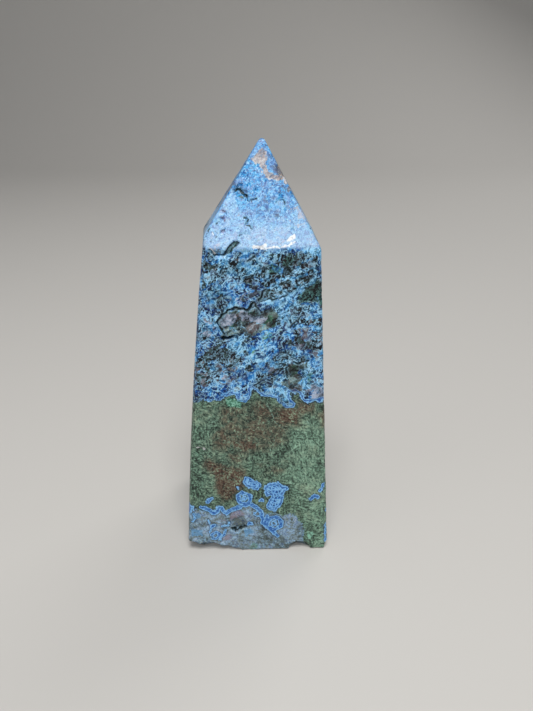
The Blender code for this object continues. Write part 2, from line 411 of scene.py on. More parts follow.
@dataclass
class TowerGrid:
    """The grid of rows and columns on which the tower's surface is worked out."""

    cut: TowerCut
    face_columns: tuple[int, ...] = (144, 40, 44, 40)
    edge_cut: float = 0.019
    fine_edge_cut: float = 0.010
    bevel_cut: float = 0.25
    arc_columns: int = 3
    arc_pull: float = 0.62
    corner_turn: float = 0.12
    lip_fade: float = 0.13
    chip_rows: int = 8
    chip_hollow: float = 0.7
    least_turn: float = 0.002
    underside_rings: int = 6
    rim_height: float = 0.25
    rim_inset: float = 0.25
    body_stretches: tuple = (
        (0.0, 17.0 / 63.3, 72),
        (17.0 / 63.3, 33.0 / 63.3, 40),
        (33.0 / 63.3, 0.9945, 142),
    )
    pyramid_stretches: tuple = (
        (0.018, 0.60, 50),
        (0.60, 0.90, 17),
        (0.90, 0.985, 8),
    )
    flakes: tuple[Flake, ...] = (
        Flake(-1.6, 4.0, 2.7, 3.4),
        Flake(3.4, 3.4, 2.1, 2.6),
        Flake(6.8, 2.4, 1.3, 1.5),
        Flake(9.2, 1.8, 0.7, 0.8),
        Flake(22.9, 2.5, 2.0, 1.9),
        Flake(29.1, 1.0, 1.9, 0.7),
        Flake(44.5, 3.4, 1.5, 1.3),
        Flake(56.0, 1.5, 1.8, 1.0),
        Flake(66.5, 2.6, 1.2, 1.2),
        Flake(80.0, 4.2, 1.9, 1.7),
        Flake(98.0, 2.4, 1.1, 1.0),
    )

    def columns(self) -> tuple[np.ndarray, np.ndarray]:
        """Lay out the columns round the tower.

        A column is a share of each corner. On a face the share runs from one corner to the next.
        Between two faces three columns follow a quadratic curve that is pulled towards the
        corner: (1 - t)^2 * a + 2 * t * (1 - t) * c + t^2 * b.

        Returns:
            The share of each corner in each column, and the level direction that points inwards.
        """
        order = list(Face)
        ends = {
            Face.FRONT: (self.fine_edge_cut, self.edge_cut),
            Face.RIGHT: (self.edge_cut, self.edge_cut),
            Face.BACK: (self.edge_cut, self.edge_cut),
            Face.LEFT: (self.edge_cut, self.fine_edge_cut),
            Face.BEVEL: (self.bevel_cut, self.bevel_cut),
        }
        counts = dict(zip(order, (*self.face_columns, 3)))
        shares: list[np.ndarray] = []
        directions: list[np.ndarray] = []
        for position, face in enumerate(order):
            begin, finish = ends[face]
            after = (position + 1) % len(order)
            along = np.linspace(begin, 1.0 - finish, counts[face])
            share = np.zeros((len(along), len(order)))
            share[:, position] = 1.0 - along
            share[:, after] = along
            shares.append(share)
            here = np.array(INWARD[face])
            before = np.array(INWARD[order[position - 1]])
            beyond = np.array(INWARD[order[after]])
            near_start = (1.0 - smooth_step(along / self.corner_turn))[:, None]
            near_end = (1.0 - smooth_step((1.0 - along) / self.corner_turn))[:, None]
            directions.append(here + near_start * before + near_end * beyond)
            next_begin = ends[order[after]][0]
            last = share[-1]
            first = np.zeros(len(order))
            first[after] = 1.0 - next_begin
            first[(after + 1) % len(order)] = next_begin
            corner = np.zeros(len(order))
            corner[after] = 1.0
            pull = self.arc_pull * corner + (1.0 - self.arc_pull) * (last + first) / 2.0
            turn = (np.arange(self.arc_columns) + 1.0)[:, None] / (self.arc_columns + 1.0)
            shares.append((1.0 - turn) ** 2 * last + 2.0 * turn * (1.0 - turn) * pull
                          + turn ** 2 * first)
            directions.append(np.repeat((here + beyond)[None], self.arc_columns, axis=0))
        inward = np.concatenate(directions)
        inward = sum(np.roll(inward, shift, axis=0) for shift in range(-2, 3))
        return np.concatenate(shares), inward / np.linalg.norm(inward, axis=1, keepdims=True)

    @staticmethod
    def stretch(stretches: tuple) -> np.ndarray:
        """Join evenly spaced stretches, given as start, stop and number of steps."""
        parts = [np.linspace(a, b, steps, endpoint=False) for a, b, steps in stretches]
        parts.append(np.array([stretches[-1][1]]))
        return np.concatenate(parts)

    def rim(self, outline: np.ndarray, noise: LatticeNoise) -> tuple[np.ndarray, np.ndarray]:
        """How high the broken rim reaches at each column, and how far it is set in at the ground.

        A flake's height falls as 1 - (gap / half_width)^4 from its middle, and noise crumbles it.

        Args:
            outline: The base's outline, one point for each column.
            noise: The stone's noise.

        Returns:
            The height of the rim's lip and its inset, for each column.
        """
        steps = np.linalg.norm(np.diff(outline[:, :2], axis=0), axis=1)
        along = np.concatenate(([0.0], np.cumsum(steps)))
        whole = along[-1] + np.linalg.norm(outline[0, :2] - outline[-1, :2])
        height = np.full(len(outline), self.rim_height)
        inset = np.full(len(outline), self.rim_inset)
        for flake in self.flakes:
            gap = (along - flake.along + whole / 2.0) % whole - whole / 2.0
            gap = gap + 0.45 * noise.layered(outline * 1.0 + 5.0, 1.6, 2)
            strength = np.clip(1.0 - np.abs(gap / flake.half_width) ** 4, 0.0, 1.0)
            height = np.maximum(height, self.rim_height + strength * (flake.height - self.rim_height))
            inset = np.maximum(inset, self.rim_inset + strength * (flake.reach - self.rim_inset))
        crumble = noise.layered(outline, 1.3, 3)
        height = height + 0.22 * np.abs(crumble) + 0.10 * crumble
        inset = inset + 0.12 * np.abs(noise.layered(outline + 50.0, 0.9, 2))
        return np.maximum(height, 0.18), inset

    def upper_rows(self, shares: np.ndarray, lip: np.ndarray) -> np.ndarray:
        """Rows from the rim's lip to just under the tip.

        The body's rows run from the base to the shoulder, raised by the lip near the ground and
        bowed to the left by a parabola beside the front left edge. Three rows curve over the
        shoulder, and the pyramid's rows run to the apex, where the tip is blunt:
        z = top - ((top - z)^4 + rounding^4)^(1/4).
        """
        cut = self.cut
        base = shares @ cut.base
        shoulder = shares @ cut.shoulder
        bowed = shares[:, [0, 4]].sum(axis=1)
        share = self.stretch(self.body_stretches)[:, None]
        lip_share = lip[None, :] / shoulder[None, :, 2]
        share = share + lip_share * np.clip(1.0 - share / self.lip_fade, 0.0, 1.0) ** 2
        body = share[:, :, None] * shoulder[None] + (1.0 - share[:, :, None]) * base[None]
        body[:, :, 0] -= cut.left_edge_bow * bowed * 4.0 * share * (1.0 - share)
        climb = self.stretch(self.pyramid_stretches)[:, None, None]
        pyramid = (1.0 - climb) * shoulder[None] + climb * cut.apex
        turn = (np.arange(3) + 1.0)[:, None, None] / 4.0
        pull = self.arc_pull * shoulder + (1.0 - self.arc_pull) * (body[-1] + pyramid[0]) / 2.0
        ridge = ((1.0 - turn) ** 2 * body[-1] + 2.0 * turn * (1.0 - turn) * pull
                 + turn ** 2 * pyramid[0])
        below = cut.apex[2] - pyramid[:, :, 2]
        pyramid[:, :, 2] = cut.apex[2] - (below ** 4 + cut.tip_rounding ** 4) ** 0.25
        return np.concatenate((body, ridge, pyramid))

    def chip_surface(self, base: np.ndarray, lip: np.ndarray, inset: np.ndarray,
                     inward: np.ndarray, lip_row: np.ndarray, noise: LatticeNoise) -> np.ndarray:
        """Rows between the ground and the lip, hollowed like broken stone.

        A row at share t of the lip's height is set in by inset * (1 - t)^0.7, and noise that
        fades out at both ends roughens it.
        """
        share = (np.arange(self.chip_rows) / self.chip_rows)[:, None]
        rows = (1.0 - share[:, :, None]) * base[None] + share[:, :, None] * lip_row[None]
        rows[:, :, 2] = lip[None] * share
        flat = rows.reshape(-1, 3)
        rough = noise.layered(flat, 0.8, 3).reshape(rows.shape[:2])
        bite = inset[None] * (1.0 - share) ** self.chip_hollow
        bite = bite + 0.22 * rough * np.clip(bite, 0.0, 1.0) * np.sin(np.pi * share)
        rows[:, :, :2] += inward[None] * bite[:, :, None]
        return self.in_order(rows)

    def in_order(self, rows: np.ndarray) -> np.ndarray:
        """Put the columns back in order where a deep chip at a corner makes them cross.

        Each angle round the base's middle becomes the mean of the highest one before it and the
        lowest one after it, with a small step for each column. The radius stays.
        """
        count = rows.shape[1]
        back = 3 * count // 4
        middle = rows[0, :, :2].mean(axis=0)
        arms = np.roll(rows[:, :, :2] - middle, -back, axis=1)
        steps = self.least_turn * np.arange(count)
        angle = np.unwrap(np.arctan2(arms[:, :, 1], arms[:, :, 0]), axis=1) - steps
        highest = np.maximum.accumulate(angle, axis=1)
        lowest = np.minimum.accumulate(angle[:, ::-1], axis=1)[:, ::-1]
        turn = (highest + lowest) / 2.0 + steps
        around = np.stack((np.cos(turn), np.sin(turn)), axis=2)
        moved = middle + around * np.linalg.norm(arms, axis=2, keepdims=True)
        rows[:, :, :2] = np.roll(moved, back, axis=1)
        return rows

    def underside(self, ground: np.ndarray) -> np.ndarray:
        """Rings under the base, from just inside the ground row in towards its middle."""
        middle = ground.mean(axis=0)
        share = np.linspace(0.01, 0.92, self.underside_rings)[:, None, None]
        return (1.0 - share) * ground[None] + share * middle


FRONT_HOLLOWS = (
    # The long open seam across the front shoulder, and the worn edge beside it
    (-4.2, 63.4, 1.9, 0.5, 44.0, 0.7),
    (-7.2, 62.7, 1.2, 0.4, -38.0, 0.5),
    (-3.6, 62.4, 4.6, 0.9, -3.0, 0.3),
    # The sunk plate
    (-3.4, 50.3, 4.0, 2.2, 12.0, 0.4),
    (0.6, 50.4, 2.4, 1.7, 20.0, 0.3),
    # Open cells in the upper body
    (5.4, 59.2, 1.0, 0.8, 70.0, 0.6),
    (1.4, 59.4, 1.0, 0.5, 80.0, 0.45),
    (-1.3, 58.2, 0.9, 0.5, 30.0, 0.4),
    (9.2, 54.8, 2.5, 1.1, 38.0, 0.3),
    (7.3, 46.9, 1.2, 0.6, 90.0, 0.35),
    # The pit low on the right, the nick in the left edge and the pit above the base
    (7.0, 39.6, 2.8, 1.7, 80.0, 0.4),
    (-11.3, 24.0, 1.3, 1.1, 0.0, 0.5),
    (-4.1, 6.9, 2.0, 1.5, 90.0, 0.5),
    (-3.9, 5.6, 1.5, 0.5, 6.0, 0.9),
    # The pyramid's seam
    (-2.6, 71.9, 1.7, 0.5, -24.0, 0.35),
)
SIDE_HOLLOWS = (
    (Face.RIGHT, 9.5, 57.5, 2.0, 1.2, 35.0, 0.5),
    (Face.RIGHT, 17.0, 48.0, 2.8, 1.6, -20.0, 0.5),
    (Face.RIGHT, 8.0, 41.0, 1.8, 1.3, 60.0, 0.5),
    (Face.BACK, 4.0, 53.0, 3.6, 1.8, -15.0, 0.6),
    (Face.BACK, -5.0, 58.5, 1.8, 1.1, 40.0, 0.5),
    (Face.BACK, -6.0, 41.0, 2.6, 1.7, 75.0, 0.6),
    (Face.BACK, 6.5, 10.0, 2.2, 1.7, 10.0, 0.7),
    (Face.LEFT, 14.0, 51.0, 3.0, 1.6, 25.0, 0.5),
    (Face.LEFT, 9.0, 39.0, 1.8, 1.4, 80.0, 0.5),
    (Face.LEFT, 18.0, 9.0, 1.8, 1.5, 0.0, 0.6),
)
FRONT_CELLS = (
    # Small open cells: place, half sizes, turn and depth. Each is also a dark patch, as painted shade
    # inside the cell
    (8.1, 57.8, 1.2, 0.45, 25.0, 0.35),
    (8.3, 60.4, 0.8, 0.6, 0.0, 0.3),
    (4.9, 57.2, 1.0, 0.5, 12.0, 0.3),
    (2.6, 57.6, 0.6, 0.5, 0.0, 0.3),
    (6.1, 56.3, 0.7, 0.3, 15.0, 0.2),
    (4.1, 55.6, 0.45, 0.35, 0.0, 0.2),
    (10.1, 61.3, 0.5, 0.8, -20.0, 0.25),
    (6.7, 61.0, 0.9, 0.45, 15.0, 0.25),
    (-7.2, 60.3, 1.0, 0.45, 0.0, 0.3),
    (-8.3, 60.6, 0.5, 0.5, 0.0, 0.2),
    (-1.5, 41.4, 0.55, 0.5, 0.0, 0.35),
    (-0.8, 23.55, 0.45, 0.22, 3.0, 0.5),
    (-5.5, 68.9, 0.5, 0.22, 0.0, 0.3),
    (-5.6, 67.9, 0.6, 0.2, 0.0, 0.3),
    (-5.7, 65.9, 0.4, 0.3, 0.0, 0.3),
    (9.0, 67.8, 0.4, 0.25, 60.0, 0.3),
    (9.2, 59.2, 0.5, 0.3, 30.0, 0.2),
    (-2.3, 44.4, 0.5, 0.3, -30.0, 0.2),
    (5.6, 46.5, 0.5, 0.4, 0.0, 0.2),
    (-9.3, 57.3, 0.4, 0.5, 0.0, 0.2),
)
FRONT_CRACKS = (
    # Each crack's depth, half its width, and its points across and up
    (0.65, 0.15, ((-7.2, 50.2), (-6.7, 50.9), (-6.2, 51.6), (-5.6, 51.9), (-5.0, 52.5),
                  (-4.3, 52.7), (-3.7, 53.1), (-3.0, 52.8), (-2.3, 52.8), (-1.7, 52.4),
                  (-1.2, 52.8), (-0.9, 53.5), (-0.4, 54.0))),
    (0.30, 0.09, ((-0.4, 54.0), (-0.2, 53.2), (0.3, 52.6), (0.8, 52.0))),
    (0.50, 0.12, ((-7.2, 50.2), (-6.7, 49.5), (-6.3, 48.8), (-5.8, 48.1))),
    (0.40, 0.11, ((-7.6, 47.0), (-6.6, 47.4), (-5.8, 47.5))),
    (0.90, 0.26, ((-6.1, 47.3), (-5.2, 47.3), (-4.2, 47.6))),
    (0.40, 0.11, ((0.2, 54.5), (0.7, 54.6), (1.0, 55.1), (1.1, 55.8), (1.7, 56.3))),
    (0.30, 0.09, ((0.2, 54.0), (1.3, 54.2), (2.0, 54.5), (2.8, 54.3), (3.9, 54.6), (4.8, 55.0),
                  (5.5, 55.2))),
    (0.50, 0.13, ((6.6, 42.5), (7.4, 42.0), (8.3, 42.5), (9.3, 42.7))),
    (0.35, 0.10, ((9.3, 42.7), (9.0, 42.0), (9.0, 41.4))),
    (0.45, 0.12, ((5.3, 41.4), (5.5, 40.3), (5.5, 39.3))),
    (0.30, 0.09, ((-0.8, 37.7), (0.1, 38.4), (1.0, 38.8), (1.6, 39.1), (2.3, 38.9), (2.9, 38.5))),
    (0.25, 0.08, ((6.4, 49.1), (7.1, 50.0), (7.3, 50.7), (7.9, 51.4))),
    (0.25, 0.08, ((5.8, 48.9), (6.3, 49.5), (6.8, 50.3))),
    (0.25, 0.07, ((-1.5, 61.3), (-0.8, 61.7), (-0.3, 62.1))),
    (0.65, 0.17, ((-3.9, 72.1), (-3.3, 72.3), (-2.6, 72.3), (-2.1, 71.7), (-1.5, 71.3))),
    (0.35, 0.10, ((-1.5, 71.3), (-1.4, 70.9), (-1.3, 70.6))),
    (0.35, 0.10, ((-0.8, 70.7), (-0.3, 70.8), (0.2, 70.9))),
    (0.30, 0.08, ((-2.0, 68.0), (-1.7, 68.1), (-1.3, 67.8), (-1.7, 67.1), (-1.0, 66.8),
                  (-0.6, 66.4))),
    (0.25, 0.06, ((-2.9, 65.3), (-2.3, 65.6), (-1.8, 65.8))),
    (0.50, 0.09, ((-8.1, 63.2), (-7.6, 62.7), (-7.1, 62.3), (-6.2, 62.4), (-5.4, 62.2))),
    (0.70, 0.12, ((-5.4, 62.4), (-5.1, 63.0), (-4.7, 63.6), (-4.2, 64.0))),
    (0.60, 0.12, ((-4.2, 64.0), (-3.6, 64.5), (-3.0, 64.3), (-3.2, 63.8), (-4.0, 63.3),
                  (-4.4, 62.7))),
    (0.20, 0.06, ((3.5, 70.5), (4.1, 70.6), (4.7, 70.7), (5.1, 70.3), (5.0, 70.0))),
    (0.25, 0.09, ((-7.1, 67.0), (-6.7, 67.3), (-6.5, 67.5))),
    (0.25, 0.10, ((-8.7, 65.3), (-8.3, 65.9), (-8.0, 66.5))),
    (0.85, 0.20, ((-5.5, 5.8), (-4.9, 5.1), (-4.3, 4.7), (-3.7, 5.3), (-2.9, 5.7), (-2.5, 5.9))),
    (0.20, 0.08, ((-10.3, 3.3), (-9.9, 3.7), (-9.6, 3.3))),
)
# White lines along worn edges: the chipped nick in the left edge, and the shoulder ridge, where the
# white also stands in for the polished edge's highlight as a painted highlight.
WORN_AND_SHEEN_LINES = (
    (0.22, ((-11.7, 24.9), (-11.0, 24.9), (-10.4, 24.3))),
    (0.20, ((-7.9, 63.5), (-7.5, 62.9), (-7.0, 62.6))),
    (0.30, ((-0.4, 63.5), (0.4, 63.6), (1.2, 63.7), (1.6, 64.0))),
    (0.16, ((-0.3, 63.4), (1.0, 63.4), (2.5, 63.5), (4.2, 63.6), (5.7, 63.9), (6.4, 64.4))),
    (0.28, ((5.4, 64.5), (6.0, 64.9), (6.4, 65.2))),
    (0.12, ((-7.4, 65.9), (-7.2, 65.5))),
)
VEIN_LINES = (
    (0.10, ((1.7, 34.6), (2.0, 33.4), (2.5, 32.4), (3.1, 30.6), (3.8, 29.5), (4.4, 29.3))),
    (0.05, ((4.4, 29.3), (5.0, 28.7), (5.5, 27.9))),
    (0.04, ((-9.3, 30.4), (-8.5, 30.6), (-7.5, 31.3), (-6.6, 31.8))),
    (0.04, ((-9.2, 31.3), (-8.2, 31.9), (-7.5, 32.1))),
    (0.04, ((-9.6, 29.6), (-8.5, 30.3), (-7.7, 30.9))),
    (0.05, ((-2.0, 22.6), (-0.8, 21.6), (0.9, 21.3), (2.4, 20.4), (3.4, 20.6))),
    (0.05, ((3.1, 26.6), (3.4, 25.4), (4.1, 25.4), (4.8, 24.6))),
    (0.07, ((3.7, 23.6), (4.6, 23.2), (5.6, 23.0), (7.0, 22.8))),
    (0.06, ((1.9, 24.6), (2.4, 24.2), (2.3, 23.4))),
    (0.18, ((9.4, 30.2), (9.6, 30.0))),
    # Pale lines in the blue
    (0.10, ((-0.9, 52.7), (0.6, 53.3), (2.0, 53.6), (3.7, 54.0), (5.5, 55.0), (7.2, 56.1),
            (9.2, 57.5), (10.9, 58.7))),
    (0.08, ((4.1, 51.9), (5.8, 52.8), (7.6, 53.6), (9.2, 54.1))),
    (0.08, ((2.0, 54.5), (3.7, 54.9), (5.3, 55.9), (7.0, 57.0), (8.5, 57.9))),
    (0.09, ((-9.7, 55.1), (-8.4, 55.9), (-7.4, 56.8), (-6.2, 57.3))),
    (0.10, ((4.6, 51.4), (5.9, 51.0), (6.9, 51.3), (8.2, 50.8), (9.8, 50.9))),
    (0.08, ((4.4, 50.3), (5.0, 48.7), (6.1, 48.2), (7.0, 48.7), (7.3, 49.8), (6.4, 50.6))),
    (0.09, ((-4.5, 46.2), (-3.1, 47.0), (-1.3, 47.3), (0.2, 46.7), (1.6, 47.1), (3.0, 47.6))),
    (0.08, ((-1.8, 61.1), (-0.4, 61.6), (0.9, 61.1), (2.0, 60.1), (1.3, 59.0), (-0.1, 59.4))),
    (0.08, ((4.6, 58.3), (6.1, 57.7), (7.5, 58.6), (9.2, 58.9), (10.6, 60.0))),
    (0.04, ((-9.2, 33.8), (-9.3, 30.4), (-9.3, 27.1), (-9.6, 24.4))),
)


@dataclass
class Relief:
    """Everything that is cut into the faces: hollows, open cells, cracks, pits and worn edges."""

    cut: TowerCut
    noise: LatticeNoise
    wall: float = 0.34
    outline_shift: float = 0.34
    crack_lip: float = 0.13
    pit_count: int = 260
    cell_count: int = 54
    crack_count: int = 16
    seed: int = 4186

    def hollows(self) -> list[Hollow]:
        """The large hollows, the small open cells on the front, and drawn ones elsewhere."""
        found = [Hollow(Spot(Face.FRONT, *row[:5]), row[5]) for row in FRONT_HOLLOWS + FRONT_CELLS]
        found += [Hollow(Spot(*row[:6]), row[6]) for row in SIDE_HOLLOWS]
        draw = np.random.default_rng(self.seed)
        hidden = (Face.RIGHT, Face.BACK, Face.LEFT)
        for index in range(self.cell_count):
            face = hidden[index % 3]
            height = draw.uniform(36.0, 74.0)
            low, high = self.cut.across_range(face, height)
            length = draw.uniform(0.4, 1.3)
            found.append(Hollow(Spot(face, draw.uniform(low + 0.6, high - 0.6), height, length,
                                     length * draw.uniform(0.45, 0.9), draw.uniform(-90.0, 90.0)),
                                draw.uniform(0.2, 0.42)))
        return found

    def cracks(self) -> list[Line]:
        """The cracks seen on the front, and drawn ones on the other faces."""
        found = [Line(Face.FRONT, points, width, depth) for depth, width, points in FRONT_CRACKS]
        draw = np.random.default_rng(self.seed + 1)
        hidden = (Face.RIGHT, Face.BACK, Face.LEFT)
        for index in range(self.crack_count):
            face = hidden[index % 3]
            height = draw.uniform(37.0, 70.0)
            low, high = self.cut.across_range(face, height)
            place = np.array([draw.uniform(low + 2.0, high - 2.0), height])
            heading = draw.uniform(0.0, 2.0 * math.pi)
            points = [tuple(place)]
            for _ in range(draw.integers(3, 6)):
                heading += draw.normal(0.0, 0.7)
                place = place + draw.uniform(0.7, 1.3) * np.array([math.cos(heading),
                                                                   math.sin(heading)])
                points.append(tuple(place))
            found.append(Line(face, tuple(points), draw.uniform(0.08, 0.2),
                              draw.uniform(0.3, 0.6)))
        return found

    def sunk(self, points: np.ndarray, depths: dict[Face, np.ndarray]) -> np.ndarray:
        """Depth of the hollows and cracks at each point, the deepest one counting.

        A hollow is flat in the middle and rises to the face over the outer third of its reach. A
        crack's depth falls by the same easing from its line to a little past its width.
        """
        moved = self.noise.shift(points, 1.1, self.outline_shift)
        depth = np.zeros(len(points))
        for hollow in self.hollows():
            reach = hollow.spot.reach(moved, depths)
            depth = np.maximum(depth, hollow.depth * smooth_step((1.0 - reach) / self.wall))
        fine = self.noise.shift(points, 0.7, 0.2)
        for crack in self.cracks():
            wide = crack.half_width + self.crack_lip
            line = [Line(crack.face, crack.points, wide)]
            groove = smooth_step(self.cut.line_field(line, fine) / wide * 1.5)
            depth = np.maximum(depth, crack.depth * groove)
        return depth

    def pits(self, points: np.ndarray) -> np.ndarray:
        """Depth of the small round pits, most of them in the blue part of the stone.

        A pit's depth is d * (1 - (r / radius)^2), with r the distance from its middle.
        """
        draw = np.random.default_rng(self.seed + 2)
        faces = (Face.FRONT, Face.RIGHT, Face.BACK, Face.LEFT)
        depth = np.zeros(len(points))
        for index in range(self.pit_count):
            face = faces[index % 4]
            height = draw.uniform(35.0, 76.0) if draw.random() < 0.8 else draw.uniform(3.0, 35.0)
            low, high = self.cut.across_range(face, height)
            middle = self.cut.face_point(face, draw.uniform(low, high), height)
            radius = draw.uniform(0.22, 0.5)
            deep = draw.uniform(0.1, 0.3)
            near = np.flatnonzero(np.abs(points[:, 2] - height) < radius)
            gap = np.linalg.norm(points[near] - middle, axis=1)
            depth[near] = np.maximum(depth[near], deep * np.clip(1.0 - (gap / radius) ** 2, 0, 1))
        return depth

    def wear(self, points: np.ndarray, depths: dict[Face, np.ndarray]) -> np.ndarray:
        """How much is worn off the edges: noise that fades with the distance from the edge."""
        stack = np.sort(np.stack(list(depths.values())), axis=0)
        edge = np.exp(-(np.clip(stack[1], 0.0, None) / 0.45) ** 2)
        ridge = np.exp(-((points[:, 2] - self.cut.shoulder_height) / 0.5) ** 2)
        rough = np.clip(self.noise.layered(points, 1.4, 3) + 0.15, 0.0, 1.0)
        return 0.2 * rough * np.maximum(edge, 0.8 * ridge)

    def surface(self, points: np.ndarray, depths: dict[Face, np.ndarray]) -> np.ndarray:
        """Whole depth of the relief at each point, with the faint waves of hand polishing."""
        wave = 0.03 * (1.0 + self.noise.layered(points, 6.0, 2))
        deep = np.maximum(self.sunk(points, depths), self.pits(points))
        floor = 0.12 * np.clip(deep * 2.5, 0.0, 1.0) * self.noise.layered(points, 0.55, 2)
        return np.clip(deep + floor, 0.0, None) + wave + self.wear(points, depths)


